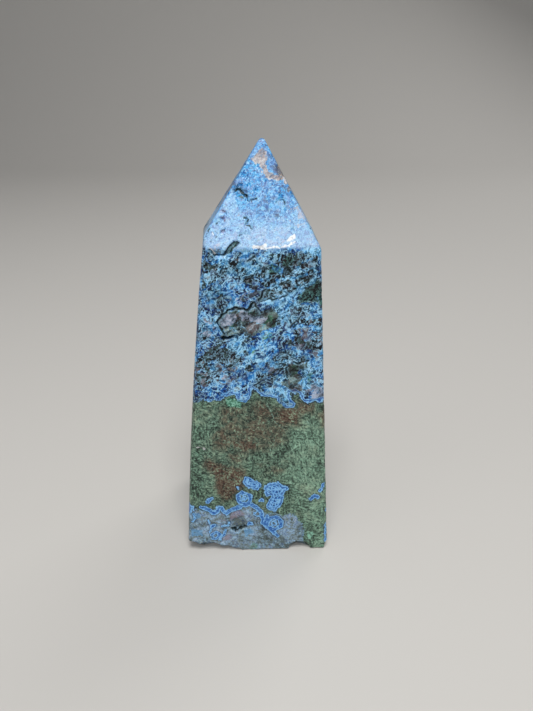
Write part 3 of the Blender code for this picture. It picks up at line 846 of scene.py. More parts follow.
AREAS = {
    # The patches of each kind on the front: how strong it is, and its outline across and up
    Tone.DARK: (
        (0.5, ((1.9, 62.3), (3.7, 62.7), (5.4, 62.6), (7.1, 62.2), (8.8, 62.6), (10.5, 62.1),
               (11.1, 61.0), (9.3, 60.2), (7.7, 61.1), (6.5, 60.7), (5.0, 61.4), (3.7, 61.0),
               (2.4, 61.3))),
        (0.45, ((-0.4, 60.7), (1.1, 61.1), (2.1, 60.6), (2.2, 59.6), (1.5, 58.4), (0.5, 58.3),
                (-0.2, 59.2))),
        (0.85, ((1.1, 55.9), (2.0, 56.4), (3.7, 55.9), (3.8, 55.1), (2.8, 54.5), (2.0, 54.7),
                (1.1, 54.2), (0.2, 54.5), (0.8, 54.8))),
        (0.8, ((6.7, 54.8), (8.0, 56.2), (9.3, 57.2), (10.6, 58.1), (11.3, 58.0), (11.3, 56.2),
                (10.6, 53.9), (9.4, 53.7), (8.3, 53.3), (7.1, 53.7))),
        (0.7, ((4.8, 51.7), (5.9, 51.9), (7.1, 51.0), (6.9, 49.6), (6.0, 49.0), (5.1, 49.6),
               (4.6, 50.8))),
        (0.8, ((7.3, 51.3), (9.5, 50.7), (11.8, 51.0), (11.9, 49.4), (10.2, 49.6), (8.6, 49.5),
               (7.3, 50.3))),
        (0.85, ((6.5, 48.2), (7.3, 48.6), (8.0, 47.7), (8.3, 46.2), (7.6, 45.7), (6.6, 46.5))),
        (0.8, ((8.5, 46.2), (10.1, 46.5), (12.0, 46.3), (12.0, 44.9), (10.6, 44.7), (9.2, 45.2))),
        (0.8, ((-10.9, 43.6), (-9.4, 44.3), (-8.2, 45.7), (-6.6, 45.5), (-4.8, 44.7), (-3.5, 44.0),
               (-2.4, 43.0), (-3.3, 42.0), (-4.2, 41.5), (-5.6, 41.3), (-6.3, 42.3), (-7.6, 42.8),
               (-8.7, 43.0), (-9.5, 41.6), (-11.0, 41.6))),
        (0.65, ((-11.2, 41.0), (-9.5, 41.6), (-8.3, 40.8), (-8.7, 39.1), (-9.6, 38.1),
                (-11.4, 38.4))),
        (0.6, ((-2.5, 33.7), (-0.9, 35.3), (1.0, 35.0), (3.1, 33.6), (4.8, 32.5), (5.7, 29.2),
               (3.4, 29.3), (1.0, 31.5), (-1.4, 32.0))),
        (0.4, ((-8.6, 27.6), (-6.2, 28.1), (-5.5, 26.2), (-7.3, 25.1), (-8.7, 25.7))),
    ),
    Tone.CLAY: (
        (1.6, ((-3.0, 52.4), (-1.8, 52.1), (-0.9, 51.4), (0.2, 51.1), (1.6, 50.9), (0.7, 50.0),
               (-0.7, 50.0), (-1.6, 50.4), (-2.7, 50.6), (-3.2, 51.6))),
        (1.2, ((-6.7, 50.2), (-5.5, 51.6), (-4.0, 52.1), (-3.8, 50.4), (-5.0, 49.3),
               (-5.9, 49.2))),
        (0.6, ((-4.4, 54.8), (-2.4, 55.5), (-0.6, 56.8), (0.2, 57.2), (0.7, 56.3), (0.0, 55.0),
               (-1.5, 54.1), (-3.1, 53.4), (-4.6, 53.2))),
        (0.55, ((-9.7, 51.2), (-7.5, 51.2), (-7.2, 47.9), (-9.2, 47.4), (-10.2, 49.3))),
        (0.45, ((-7.5, 40.6), (-5.6, 41.0), (-4.0, 39.8), (-3.4, 38.2), (-5.0, 37.6),
               (-6.8, 38.3))),
        (0.8, ((9.4, 36.8), (11.2, 38.0), (12.5, 37.7), (12.5, 35.1), (10.6, 34.5), (9.6, 35.4))),
        (0.5, ((1.9, 42.2), (3.8, 41.4), (3.8, 40.1), (2.2, 40.2))),
        (1.0, ((-0.9, 76.9), (0.2, 78.0), (1.3, 78.6), (2.0, 78.2), (1.8, 77.2), (1.9, 76.1),
               (2.5, 75.1), (3.8, 74.5), (5.0, 73.9), (5.7, 73.3), (4.6, 73.2), (2.9, 73.6),
               (1.6, 74.4), (1.0, 75.3), (0.6, 76.0), (-0.5, 76.4))),
        (0.5, ((5.4, 69.6), (7.3, 70.4), (8.7, 67.9), (8.5, 66.6), (6.8, 65.8), (5.5, 67.4))),
        (0.4, ((2.5, 63.4), (3.4, 64.9), (6.8, 65.8), (6.0, 64.5), (4.4, 63.7))),
        (0.5, ((-7.8, 64.4), (-5.9, 64.8), (-6.0, 63.1), (-7.4, 63.0))),
        (0.45, ((-4.8, 64.8), (-3.8, 66.1), (-3.4, 65.9), (-4.3, 64.6))),
        (0.4, ((-3.1, 68.9), (-2.2, 68.7), (-2.4, 67.4), (-3.2, 67.3))),
        (1.0, ((-6.0, 8.7), (-5.7, 9.8), (-4.6, 10.4), (-3.3, 9.9), (-2.6, 8.9), (-3.6, 8.3),
               (-4.6, 7.9), (-5.7, 8.1))),
        (0.9, ((-8.0, 8.9), (-7.3, 10.0), (-6.9, 8.9))),
        (0.7, ((-9.3, 8.3), (-7.7, 8.6), (-6.2, 8.2), (-6.2, 7.5), (-8.0, 7.7), (-9.4, 7.8))),
        (0.8, ((-7.7, 3.3), (-7.3, 4.4), (-6.0, 4.6), (-5.2, 4.0), (-6.1, 2.7), (-7.4, 2.5))),
    ),
    Tone.DEEP: (
        (1.0, ((-3.9, 57.5), (-2.8, 58.0), (-1.5, 57.7), (-1.2, 56.8), (-2.6, 56.3),
               (-3.9, 56.5))),
        (0.9, ((-7.0, 53.5), (-5.9, 53.3), (-5.7, 52.8), (-6.6, 52.4))),
        (1.0, ((4.3, 53.0), (5.0, 53.4), (6.3, 54.2), (6.8, 53.7), (6.1, 53.3), (5.0, 52.6),
               (4.6, 52.3))),
        (1.0, ((7.3, 51.7), (8.8, 51.9), (10.6, 52.4), (10.9, 51.6), (9.5, 51.0), (7.9, 50.9))),
        (1.0, ((2.2, 44.6), (3.3, 45.6), (4.2, 45.3), (4.5, 44.1), (3.1, 43.3), (1.9, 43.6))),
        (1.0, ((-3.3, 40.3), (-2.2, 41.0), (-1.0, 40.7), (-0.5, 39.5), (-1.8, 38.7),
               (-2.9, 39.0))),
        (1.0, ((9.2, 43.3), (11.1, 43.5), (11.8, 42.2), (11.2, 40.7), (9.8, 41.2))),
        (0.9, ((7.5, 40.8), (8.4, 41.3), (8.2, 39.0), (7.5, 38.8))),
        (0.9, ((0.8, 37.4), (1.9, 37.9), (2.7, 37.1), (1.9, 36.3), (1.0, 36.6))),
        (0.6, ((-9.8, 53.7), (-8.9, 54.4), (-8.5, 53.0), (-9.5, 52.5))),
        (1.0, ((2.3, 78.0), (3.2, 76.8), (4.4, 75.1), (5.3, 74.1), (4.0, 74.7), (2.9, 75.5),
               (2.3, 76.4))),
        (0.8, ((4.6, 72.8), (6.1, 72.8), (6.9, 71.1), (5.6, 70.7), (4.8, 71.7))),
        (0.35, ((-1.5, 74.8), (1.4, 74.2), (3.5, 72.8), (4.7, 70.8), (2.6, 69.3), (0.1, 71.9),
                (-1.8, 73.1))),
    ),
    Tone.PALE: (
        (0.9, ((0.0, 53.9), (1.1, 54.2), (2.8, 54.0), (4.6, 54.7), (6.3, 55.8), (8.3, 57.1),
               (10.0, 58.6), (11.2, 59.8), (11.3, 58.6), (10.0, 57.3), (8.3, 56.2), (6.8, 54.9),
               (5.0, 54.0), (3.7, 53.1), (2.0, 53.4), (0.6, 52.9))),
        (0.9, ((-1.7, 43.9), (-0.8, 45.4), (1.0, 46.1), (1.9, 45.3), (1.5, 44.1), (2.9, 42.9),
               (3.8, 41.6), (1.9, 40.2), (-0.1, 40.7), (-0.8, 42.2))),
        (0.9, ((-7.4, 36.0), (-5.0, 37.0), (-3.4, 38.2), (-2.7, 37.7), (-4.6, 36.0),
               (-6.9, 34.9))),
        (0.8, ((-10.8, 45.8), (-9.1, 46.2), (-8.4, 45.5), (-9.8, 44.3), (-10.9, 44.1))),
        (0.9, ((3.8, 36.3), (5.9, 36.5), (6.7, 35.2), (5.2, 34.4), (3.8, 35.0))),
        (0.8, ((2.9, 37.9), (3.1, 39.1), (3.9, 39.9), (4.3, 38.9), (4.0, 37.6))),
        (0.9, ((-8.8, 59.0), (-7.9, 59.3), (-7.4, 58.4), (-8.4, 58.1))),
        (0.9, ((-8.7, 55.2), (-7.4, 56.2), (-6.9, 54.4), (-7.8, 53.9))),
        (0.5, ((-4.0, 61.4), (-1.0, 61.6), (-0.6, 59.9), (-2.3, 58.6), (-4.5, 59.3))),
        (0.6, ((-3.9, 72.5), (-7.4, 67.4), (-7.8, 64.4), (-3.8, 64.8), (-1.7, 65.9), (-2.5, 67.8),
               (-3.1, 70.4))),
        (0.8, ((-13.6, 10.1), (-11.9, 9.8), (-11.5, 8.6), (-13.6, 7.4))),
        (0.8, ((-13.8, 5.8), (-11.6, 5.8), (-11.4, 3.9), (-13.8, 3.9))),
        (0.7, ((-9.8, 7.0), (-8.7, 7.2), (-8.3, 6.0), (-9.6, 5.7))),
        (0.8, ((-3.2, 5.2), (-1.6, 5.5), (-0.8, 4.5), (-2.1, 3.9), (-2.9, 3.3))),
        (0.5, ((9.8, 1.9), (11.9, 1.9), (13.5, 2.8), (14.0, 0.8), (12.5, -0.4), (10.4, 0.3))),
        (0.8, ((5.5, 28.0), (8.0, 30.0), (14.5, 31.0), (14.8, 0.0), (11.0, 0.0), (8.6, 10.0),
               (6.5, 14.0), (4.5, 18.0), (7.0, 22.0))),
    ),
    Tone.LEAF: (
        (0.75, ((-5.2, 62.6), (-4.6, 63.7), (-3.7, 64.3), (-3.2, 64.0), (-4.2, 63.0),
                (-4.5, 62.5))),
        (0.32, ((1.1, 51.1), (2.8, 52.4), (4.0, 51.4), (3.3, 49.6), (2.0, 48.9), (0.8, 49.2))),
        (0.26, ((7.0, 54.7), (8.5, 56.2), (10.6, 57.8), (11.1, 56.2), (10.3, 53.9), (8.3, 53.5))),
        (0.5, ((6.0, 41.8), (7.2, 42.1), (7.5, 40.1), (6.3, 39.6))),
        (0.7, ((-2.2, 1.3), (-1.3, 2.1), (-0.5, 1.6), (-0.2, 0.0), (-2.2, 0.0))),
        (0.6, ((9.8, 4.2), (11.3, 4.4), (11.6, 2.8), (10.1, 2.2))),
    ),
    Tone.MOSS: (
        (0.5, ((-8.6, 64.4), (-6.6, 64.8), (-5.0, 68.0), (-4.0, 70.6), (-4.9, 70.8), (-7.2, 67.4))),
        (0.75, ((-7.2, 50.2), (-6.2, 51.6), (-5.0, 52.5), (-3.7, 53.1), (-2.3, 52.8), (-1.7, 52.4),
               (-0.9, 53.5), (-0.4, 54.0), (0.3, 52.6), (1.6, 52.6), (3.3, 52.6), (4.0, 51.4),
               (3.3, 49.6), (2.0, 48.7), (0.7, 48.2), (-1.0, 47.9), (-2.7, 48.2), (-4.2, 47.6),
               (-6.1, 47.3), (-7.4, 46.9), (-5.8, 48.4))),
        (1.0, ((5.2, 41.4), (5.8, 42.1), (6.7, 42.2), (7.6, 41.9), (9.1, 42.5), (8.9, 41.3),
               (7.5, 40.3), (8.2, 38.8), (7.3, 38.0), (8.3, 37.0), (7.6, 35.7), (6.6, 36.5),
               (5.2, 37.7), (4.3, 37.6), (4.5, 38.6), (5.5, 39.1))),
        (1.0, ((-5.4, 6.2), (-5.2, 7.8), (-4.1, 8.7), (-2.8, 8.6), (-2.4, 7.7), (-2.6, 6.1),
               (-3.9, 5.2), (-4.8, 5.2))),
        (0.5, ((-2.1, 10.7), (-1.0, 10.1), (-1.1, 7.6), (-2.1, 7.7))),
        (0.5, ((4.1, 3.4), (5.6, 3.7), (6.2, 2.0), (5.1, 0.8), (4.2, 1.4))),
        (0.5, ((-6.3, 2.7), (-2.9, 2.6), (-2.7, 0.0), (-6.4, 0.4))),
    ),
    Tone.UMBER: (
        (0.36, ((-11.6, 45.5), (-9.0, 46.3), (-6.0, 45.8), (-3.2, 44.0), (-2.4, 42.2),
                (-3.6, 40.8), (-4.4, 38.6), (-6.4, 37.4), (-9.0, 37.6), (-11.8, 38.4))),
        (0.42, ((6.4, 48.6), (8.4, 49.4), (10.4, 49.0), (12.0, 49.2), (12.2, 43.6), (10.2, 43.8),
                (8.2, 44.6), (6.4, 45.6))),
        (1.0, ((-2.1, 50.2), (-0.7, 49.8), (0.7, 49.7), (0.2, 48.7), (-1.0, 48.0),
               (-1.7, 48.9))),
        (0.8, ((-4.0, 51.5), (-3.4, 51.9), (-3.0, 51.1), (-3.6, 50.2), (-4.1, 50.3))),
        (0.8, ((5.2, 37.8), (6.8, 37.8), (8.0, 36.7), (7.6, 35.7), (6.1, 36.5))),
    ),
    Tone.RUST: (
        (0.9, ((-5.3, 26.2), (-3.4, 26.5), (0.0, 25.8), (0.0, 24.4), (-2.2, 24.1),
               (-4.9, 24.7))),
        (0.7, ((-5.6, 24.0), (-3.9, 23.7), (-3.9, 22.0), (-5.4, 21.9), (-5.9, 23.1))),
        (0.85, ((-10.5, 22.4), (-7.6, 21.6), (-5.7, 20.4), (-2.8, 19.4), (-3.1, 17.3),
                (-5.3, 15.2), (-7.8, 15.2), (-7.5, 17.5), (-9.2, 19.1), (-10.6, 20.7))),
        (0.6, ((-6.8, 33.5), (-5.3, 34.0), (-5.1, 30.3), (-3.3, 29.3), (1.9, 28.9), (1.9, 27.4),
               (-2.6, 27.5), (-5.5, 28.3), (-7.1, 30.3))),
        (0.42, ((-6.0, 33.0), (0.0, 34.2), (7.0, 31.0), (6.4, 25.4), (1.0, 23.6), (-6.0, 22.6),
                (-9.0, 25.6))),
        (0.75, ((3.3, 33.3), (7.4, 32.7), (8.2, 29.2), (7.0, 28.9), (4.8, 30.0), (3.4, 31.1))),
        (0.75, ((7.1, 34.5), (10.4, 34.2), (10.5, 32.3), (8.1, 32.3))),
        (0.6, ((11.7, 31.5), (13.2, 31.5), (13.3, 28.9), (12.0, 29.0))),
        (0.5, ((0.0, 21.0), (3.4, 20.6), (5.4, 19.4), (3.4, 18.3), (0.9, 18.9))),
        (0.9, ((-8.1, 18.1), (-3.4, 18.5), (-3.1, 15.9), (-4.5, 13.8), (-4.8, 12.6),
               (-7.1, 12.4), (-8.0, 14.5))),
    ),
}
LEAF_SPOTS = (
    (5.2, 61.1, 0.8, 0.4, 40.0, 1.0), (-4.5, 34.3, 1.5, 0.9, -23.0, 1.0),
    (-0.9, 51.9, 0.6, 0.5, 0.0, 0.7), (-4.6, 49.6, 0.6, 0.5, 0.0, 0.6),
    (-1.0, 44.9, 0.6, 0.5, 0.0, 0.4), (3.0, 59.8, 0.7, 0.7, 0.0, 0.6),
    (9.6, 39.4, 0.5, 0.6, 0.0, 0.6), (-4.4, 63.2, 0.4, 0.9, -40.0, 0.8),
    (-2.2, 71.4, 0.5, 0.3, -40.0, 0.5), (2.0, 47.5, 1.0, 0.5, 0.0, 0.4),
)
DEEP_SPOTS = (
    (-2.6, 35.7, 1.0, 0.8, 0.0, 0.9), (-8.8, 57.0, 0.5, 0.5, 0.0, 0.7),
    (-6.3, 61.9, 0.9, 0.6, 0.0, 0.8), (1.4, 68.6, 1.6, 1.3, 0.0, 0.5),
    (3.3, 68.4, 1.2, 0.8, 0.0, 0.5), (10.4, 36.0, 0.6, 0.4, 0.0, 0.8),
)
FRONT_RIBBONS = (
    # The blue chain low on the front, from the left edge down to the right
    (0.42, ((-11.5, 11.0), (-10.6, 10.7), (-9.9, 10.3), (-9.3, 9.6), (-8.5, 9.7), (-8.0, 10.9),
            (-7.3, 10.5), (-6.6, 9.4), (-6.0, 9.9), (-4.8, 10.5), (-4.1, 10.8), (-2.8, 11.3),
            (-1.7, 11.7))),
    (0.42, ((-1.7, 11.7), (-0.5, 10.8), (0.4, 9.8), (0.8, 8.2), (0.8, 7.0), (1.5, 5.7),
            (2.8, 4.9), (3.8, 3.6))),
    (0.40, ((1.7, 8.5), (1.5, 6.9), (2.0, 6.0))),
    (0.35, ((-10.2, 12.3), (-9.5, 13.0))),
    (0.30, ((13.9, 5.9), (14.0, 2.1))),
    (0.40, ((10.6, 12.4), (11.3, 13.2), (11.9, 12.8))),
    (0.30, ((12.4, 14.4), (13.1, 16.0))),
    (0.40, ((-1.9, 6.7), (-1.5, 6.7))),
    (0.25, ((-9.1, 6.6), (-9.8, 5.7), (-10.1, 4.8))),
    (0.22, ((-7.5, 6.4), (-6.3, 6.5), (-6.1, 7.2))),
    (0.20, ((-6.8, 5.3), (-7.3, 4.0), (-8.1, 2.8))),
    (0.20, ((-13.2, 9.5), (-12.9, 8.6), (-13.3, 7.7))),
    (0.20, ((-10.2, 7.9), (-10.0, 6.7))),
)
RIBBON_AREAS = (
    ((-2.7, 17.9), (-2.0, 18.1), (-1.3, 17.4), (0.3, 16.8), (0.5, 15.8), (-0.2, 14.9),
     (-1.5, 15.3), (-2.7, 15.8), (-3.1, 16.9)),
    ((1.3, 15.8), (2.0, 16.4), (3.5, 16.5), (4.1, 16.7), (4.8, 15.7), (5.8, 15.6), (6.0, 14.8),
     (5.1, 13.9), (4.9, 12.5), (4.5, 10.9), (3.5, 9.7), (2.3, 9.9), (1.5, 10.6), (1.8, 11.8),
     (2.7, 13.5), (1.5, 13.3), (1.1, 14.3)),
)
FRONT_LOOPS = (
    # Rings of blue round a core: middle, radius of the ring's line and half its width
    (-2.9, 13.0, 1.26, 0.40),
    (3.2, 6.7, 1.44, 0.44),
    (-8.9, 3.9, 0.77, 0.33),
    (0.5, 12.3, 0.10, 0.40),
    (-4.1, 15.4, 0.05, 0.25),
    (-0.2, 9.2, 0.61, 0.16),
    (-2.9, 13.0, 0.36, 0.16),
    (3.2, 6.7, 0.50, 0.15),
)
FRONT_EDGE = (
    # Lower edge of the blue on the front, from left to right with its hanging lobes
    (-16.0, 34.8), (-11.5, 34.6), (-10.0, 34.7), (-8.9, 34.8), (-8.0, 34.8), (-6.9, 35.0),
    (-5.8, 35.7), (-4.8, 36.2), (-4.2, 36.3), (-4.1, 35.4), (-3.6, 34.7), (-2.9, 34.5),
    (-2.0, 34.5), (-1.4, 35.2), (-1.2, 36.1), (-1.0, 37.0), (-0.4, 36.6), (0.2, 36.2),
    (0.8, 35.7), (1.9, 35.2), (3.1, 35.3), (3.4, 35.0), (3.9, 34.3), (4.8, 33.4), (5.8, 33.0),
    (6.9, 33.3), (7.2, 34.0), (6.7, 34.8), (6.2, 35.6), (5.9, 36.3), (6.6, 36.2), (7.5, 35.9), (7.9, 35.2), (8.6, 34.4), (9.5, 33.9),
    (10.4, 34.3), (11.6, 34.2), (12.8, 34.5), (16.0, 34.5), (16.0, 95.0), (-16.0, 95.0),
)
FOOT_EDGE = (
    # Edge of the grey foot of the stone on the front
    (-17.0, 11.1), (-13.5, 11.1), (-12.2, 10.4), (-10.2, 9.8), (-8.7, 9.4), (-7.1, 10.0),
    (-6.0, 9.5), (-4.1, 10.5), (-1.7, 11.3), (0.5, 9.8), (1.7, 9.1), (3.5, 9.2), (4.8, 8.4),
    (6.3, 9.0), (7.6, 8.3), (8.6, 6.4), (9.4, 5.1), (9.3, 2.9), (8.8, 1.3), (9.1, -3.0),
    (-17.0, -3.0),
)


@dataclass
class MineralMap:
    """Where each mineral lies on the surface, as named fields with one value for each point."""

    cut: TowerCut
    noise: LatticeNoise
    cracks: list[Line]
    edge_height: float = 34.9
    foot_height: float = 4.5
    front_fade: float = 2.2
    lobe_count: int = 46
    hidden_patches: int = 170
    seed: int = 977

    def patches(self) -> list[Patch]:
        """The patches seen on the front, and drawn ones of the same kinds on the other faces."""
        soft = {Tone.RUST: 2.6, Tone.CLAY: 1.2, Tone.UMBER: 0.9}
        found = [Patch(tone, Area(Face.FRONT, corners, soft.get(tone, 0.5)), strength)
                 for tone, rows in AREAS.items() for strength, corners in rows]
        for tone, spots in ((Tone.LEAF, LEAF_SPOTS), (Tone.DEEP, DEEP_SPOTS)):
            found += [Patch(tone, Spot(Face.FRONT, *row[:5]), row[5]) for row in spots]
        # Painted shade: each small open cell and the first three open cells of the hollows get a
        # strong dark patch.
        cells = FRONT_CELLS + FRONT_HOLLOWS[5:8]
        found += [Patch(Tone.DARK, Spot(Face.FRONT, *row[:5]), 1.5) for row in cells]
        draw = np.random.default_rng(self.seed)
        hidden = (Face.RIGHT, Face.BACK, Face.LEFT)
        blue = (Tone.DARK, Tone.DEEP, Tone.PALE, Tone.CLAY, Tone.LEAF, Tone.DARK, Tone.MOSS,
                Tone.UMBER)
        for index in range(self.hidden_patches):
            face = hidden[index % 3]
            in_blue = draw.random() < 0.78
            tone = blue[draw.integers(len(blue))] if in_blue else Tone.RUST
            height = draw.uniform(36.0, 77.0) if in_blue else draw.uniform(10.0, 33.0)
            low, high = self.cut.across_range(face, height)
            length = draw.uniform(0.7, 2.4)
            spot = Spot(face, draw.uniform(low, high), height, length,
                        length * draw.uniform(0.4, 1.0), draw.uniform(-60.0, 60.0))
            found.append(Patch(tone, spot, draw.uniform(0.6, 1.0)))
        return found

    def tone_field(self, tone: Tone, moved: np.ndarray, wild: np.ndarray,
                   depths: dict[Face, np.ndarray]) -> np.ndarray:
        """Weight of one tone: the strongest of its patches at each point.

        The patches on the front are read at the gently moved points, and the drawn ones on the
        other faces at the wildly moved ones.
        """
        weight = np.zeros(len(moved))
        for patch in self.patches():
            if patch.tone is tone:
                here = moved if patch.shape.face is Face.FRONT else wild
                found = patch.strength * patch.shape.weight(here, depths)
                weight = np.maximum(weight, found)
        # Painted glare: the pale weight rises towards the pyramid's foot, fading out 9 mm above the
        # shoulder.
        if tone is Tone.PALE:
            above = moved[:, 2] - self.cut.shoulder_height
            weight = np.maximum(weight, 0.9 * smooth_step(1.0 - above / 9.0) * (above > -0.5))
        return weight

    def near_front(self, depths: dict[Face, np.ndarray]) -> np.ndarray:
        """Weight of the front's own outlines, which fades with the depth below the front face."""
        return np.exp(-(np.clip(depths[Face.FRONT], 0.0, None) / self.front_fade) ** 2)

    def blue_field(self, points: np.ndarray, moved: np.ndarray,
                   depths: dict[Face, np.ndarray]) -> np.ndarray:
        """Signed distance to the blue mineral's edge, positive inside, in millimetres.

        On the front it is the distance to the edge's outline. Elsewhere it is the largest of: the
        height above a wavy line, and r - d for each round lobe, with d the distance to the lobe's
        middle and r its radius.
        """
        own = Area(Face.FRONT, FRONT_EDGE).signed(moved)
        wide = self.noise.layered(points, 9.0, 2)
        share = self.near_front(depths)
        general = self.edge_height + 1.5 * wide + 0.05 * (points[:, 1] - 5.0)
        found = moved[:, 2] - general
        draw = np.random.default_rng(self.seed + 1)
        for index in range(self.lobe_count):
            face = (Face.RIGHT, Face.BACK, Face.LEFT)[index % 3]
            low, high = self.cut.across_range(face, self.edge_height)
            place = self.cut.face_point(face, draw.uniform(low, high), self.edge_height)
            place[2] += 1.5 * self.noise.layered(place[None], 9.0, 2)[0] + draw.uniform(-0.5, 0.4)
            radius = draw.uniform(0.6, 1.5)
            found = np.maximum(found, radius - np.linalg.norm(moved - place, axis=1))
        return share * own + (1.0 - share) * found

    def ribbon_field(self, moved: np.ndarray, depths: dict[Face, np.ndarray]) -> np.ndarray:
        """Signed distance to the blue ribbons and rings low on the stone, positive inside.

        A ribbon is half_width - d, with d the distance to its line. A ring is
        half_width - |d - radius|, with d the distance to its middle.
        """
        lines = [Line(Face.FRONT, points, width) for width, points in FRONT_RIBBONS]
        rings = [(Face.FRONT, *row) for row in FRONT_LOOPS]
        draw = np.random.default_rng(self.seed + 2)
        for face in (Face.RIGHT, Face.BACK, Face.LEFT):
            low, high = self.cut.across_range(face, 10.0)
            across = np.arange(low + 0.5, high - 0.5, 1.1)
            rise = 9.0 + np.cumsum(draw.normal(0.0, 0.8, len(across)))
            rise = np.clip(rise - 0.5 * (rise - 9.0), 4.0, 15.0)
            chain = [(float(x), float(z)) for x, z in zip(across, rise)]
            starts = np.arange(0, len(chain) - 3, 7)
            for start in starts:
                count = int(draw.integers(4, 8))
                lines.append(Line(face, tuple(chain[start:start + count]), 0.4))
                x, z = chain[start + int(draw.integers(0, 3))]
                rings.append((face, x, z + draw.uniform(-0.9, 1.6), draw.uniform(0.7, 1.4), 0.4))
                x, z = draw.uniform(low + 1.0, high - 1.0), draw.uniform(2.5, 18.0)
                rings.append((face, x, z, draw.uniform(0.0, 0.9), draw.uniform(0.25, 0.45)))
        found = self.cut.line_field(lines, moved)
        for corners in RIBBON_AREAS:
            inside = Area(Face.FRONT, corners).signed(moved)
            found = np.maximum(found, np.where(depths[Face.FRONT] < 1.0, inside, -9.0))
        for face, x, z, radius, width in rings:
            gap = np.linalg.norm(moved - self.cut.face_point(face, x, z), axis=1)
            found = np.maximum(found, width - np.abs(gap - radius))
        return found

    def foot_field(self, points: np.ndarray, moved: np.ndarray,
                   depths: dict[Face, np.ndarray]) -> np.ndarray:
        """Signed distance to the grey foot's edge, positive inside, in millimetres.

        On the front it is the distance to the foot's outline, and elsewhere the height below a
        wavy line.
        """
        own = Area(Face.FRONT, FOOT_EDGE).signed(moved)
        general = self.foot_height + 5.0 * self.noise.layered(points + 200.0, 8.0, 2)
        share = self.near_front(depths)
        return share * own + (1.0 - share) * (general - moved[:, 2])

    def fields(self, points: np.ndarray) -> dict[str, np.ndarray]:
        """Every field of the map.

        Args:
            points: Points of the surface before any relief, in millimetres.

        Returns:
            For each field's name, one value for each point.
        """
        depths = self.cut.depths(points)
        moved = self.noise.shift(points, 1.3, 0.3)
        gently = self.noise.shift(points, 0.8, 0.16)
        wild = self.noise.shift(self.noise.shift(points, 3.0, 1.3), 1.0, 0.4)
        found = {tone.value: self.tone_field(tone, moved, wild, depths) for tone in Tone}
        found["blue"] = self.blue_field(points, gently, depths)
        found["ribbon"] = self.ribbon_field(gently, depths)
        found["foot"] = self.foot_field(points, gently, depths)
        worn_and_sheen = [Line(Face.FRONT, places, width) for width, places in WORN_AND_SHEEN_LINES]
        veins = [Line(Face.FRONT, places, width) for width, places in VEIN_LINES]
        for name, lines in (("crack", self.cracks), ("worn_and_sheen", worn_and_sheen), ("vein", veins)):
            found[name] = np.maximum(self.cut.line_field(lines, gently), -2.0)
        found["crisp"] = np.maximum(smooth_step((points[:, 0] + 8.5) / 2.5),
                                    1.0 - self.near_front(depths))
        ragged = 0.3 + 1.4 * (1.0 - self.near_front(depths))
        ridge = self.cut.shoulder_height + ragged * self.noise.layered(points, 2.0, 2)
        found["cap"] = smooth_step((points[:, 2] - ridge + 0.5) / 1.0)
        return found


def linear(red: int, green: int, blue: int) -> tuple[float, float, float, float]:
    """Turn a screen colour of 0 to 255 into the linear colour that the shader works with."""
    parts = [value / 255.0 for value in (red, green, blue)]
    parts = [v / 12.92 if v <= 0.04045 else ((v + 0.055) / 1.055) ** 2.4 for v in parts]
    return parts[0], parts[1], parts[2], 1.0


Socket = bpy.types.NodeSocket
Feed = Socket | float | int | tuple


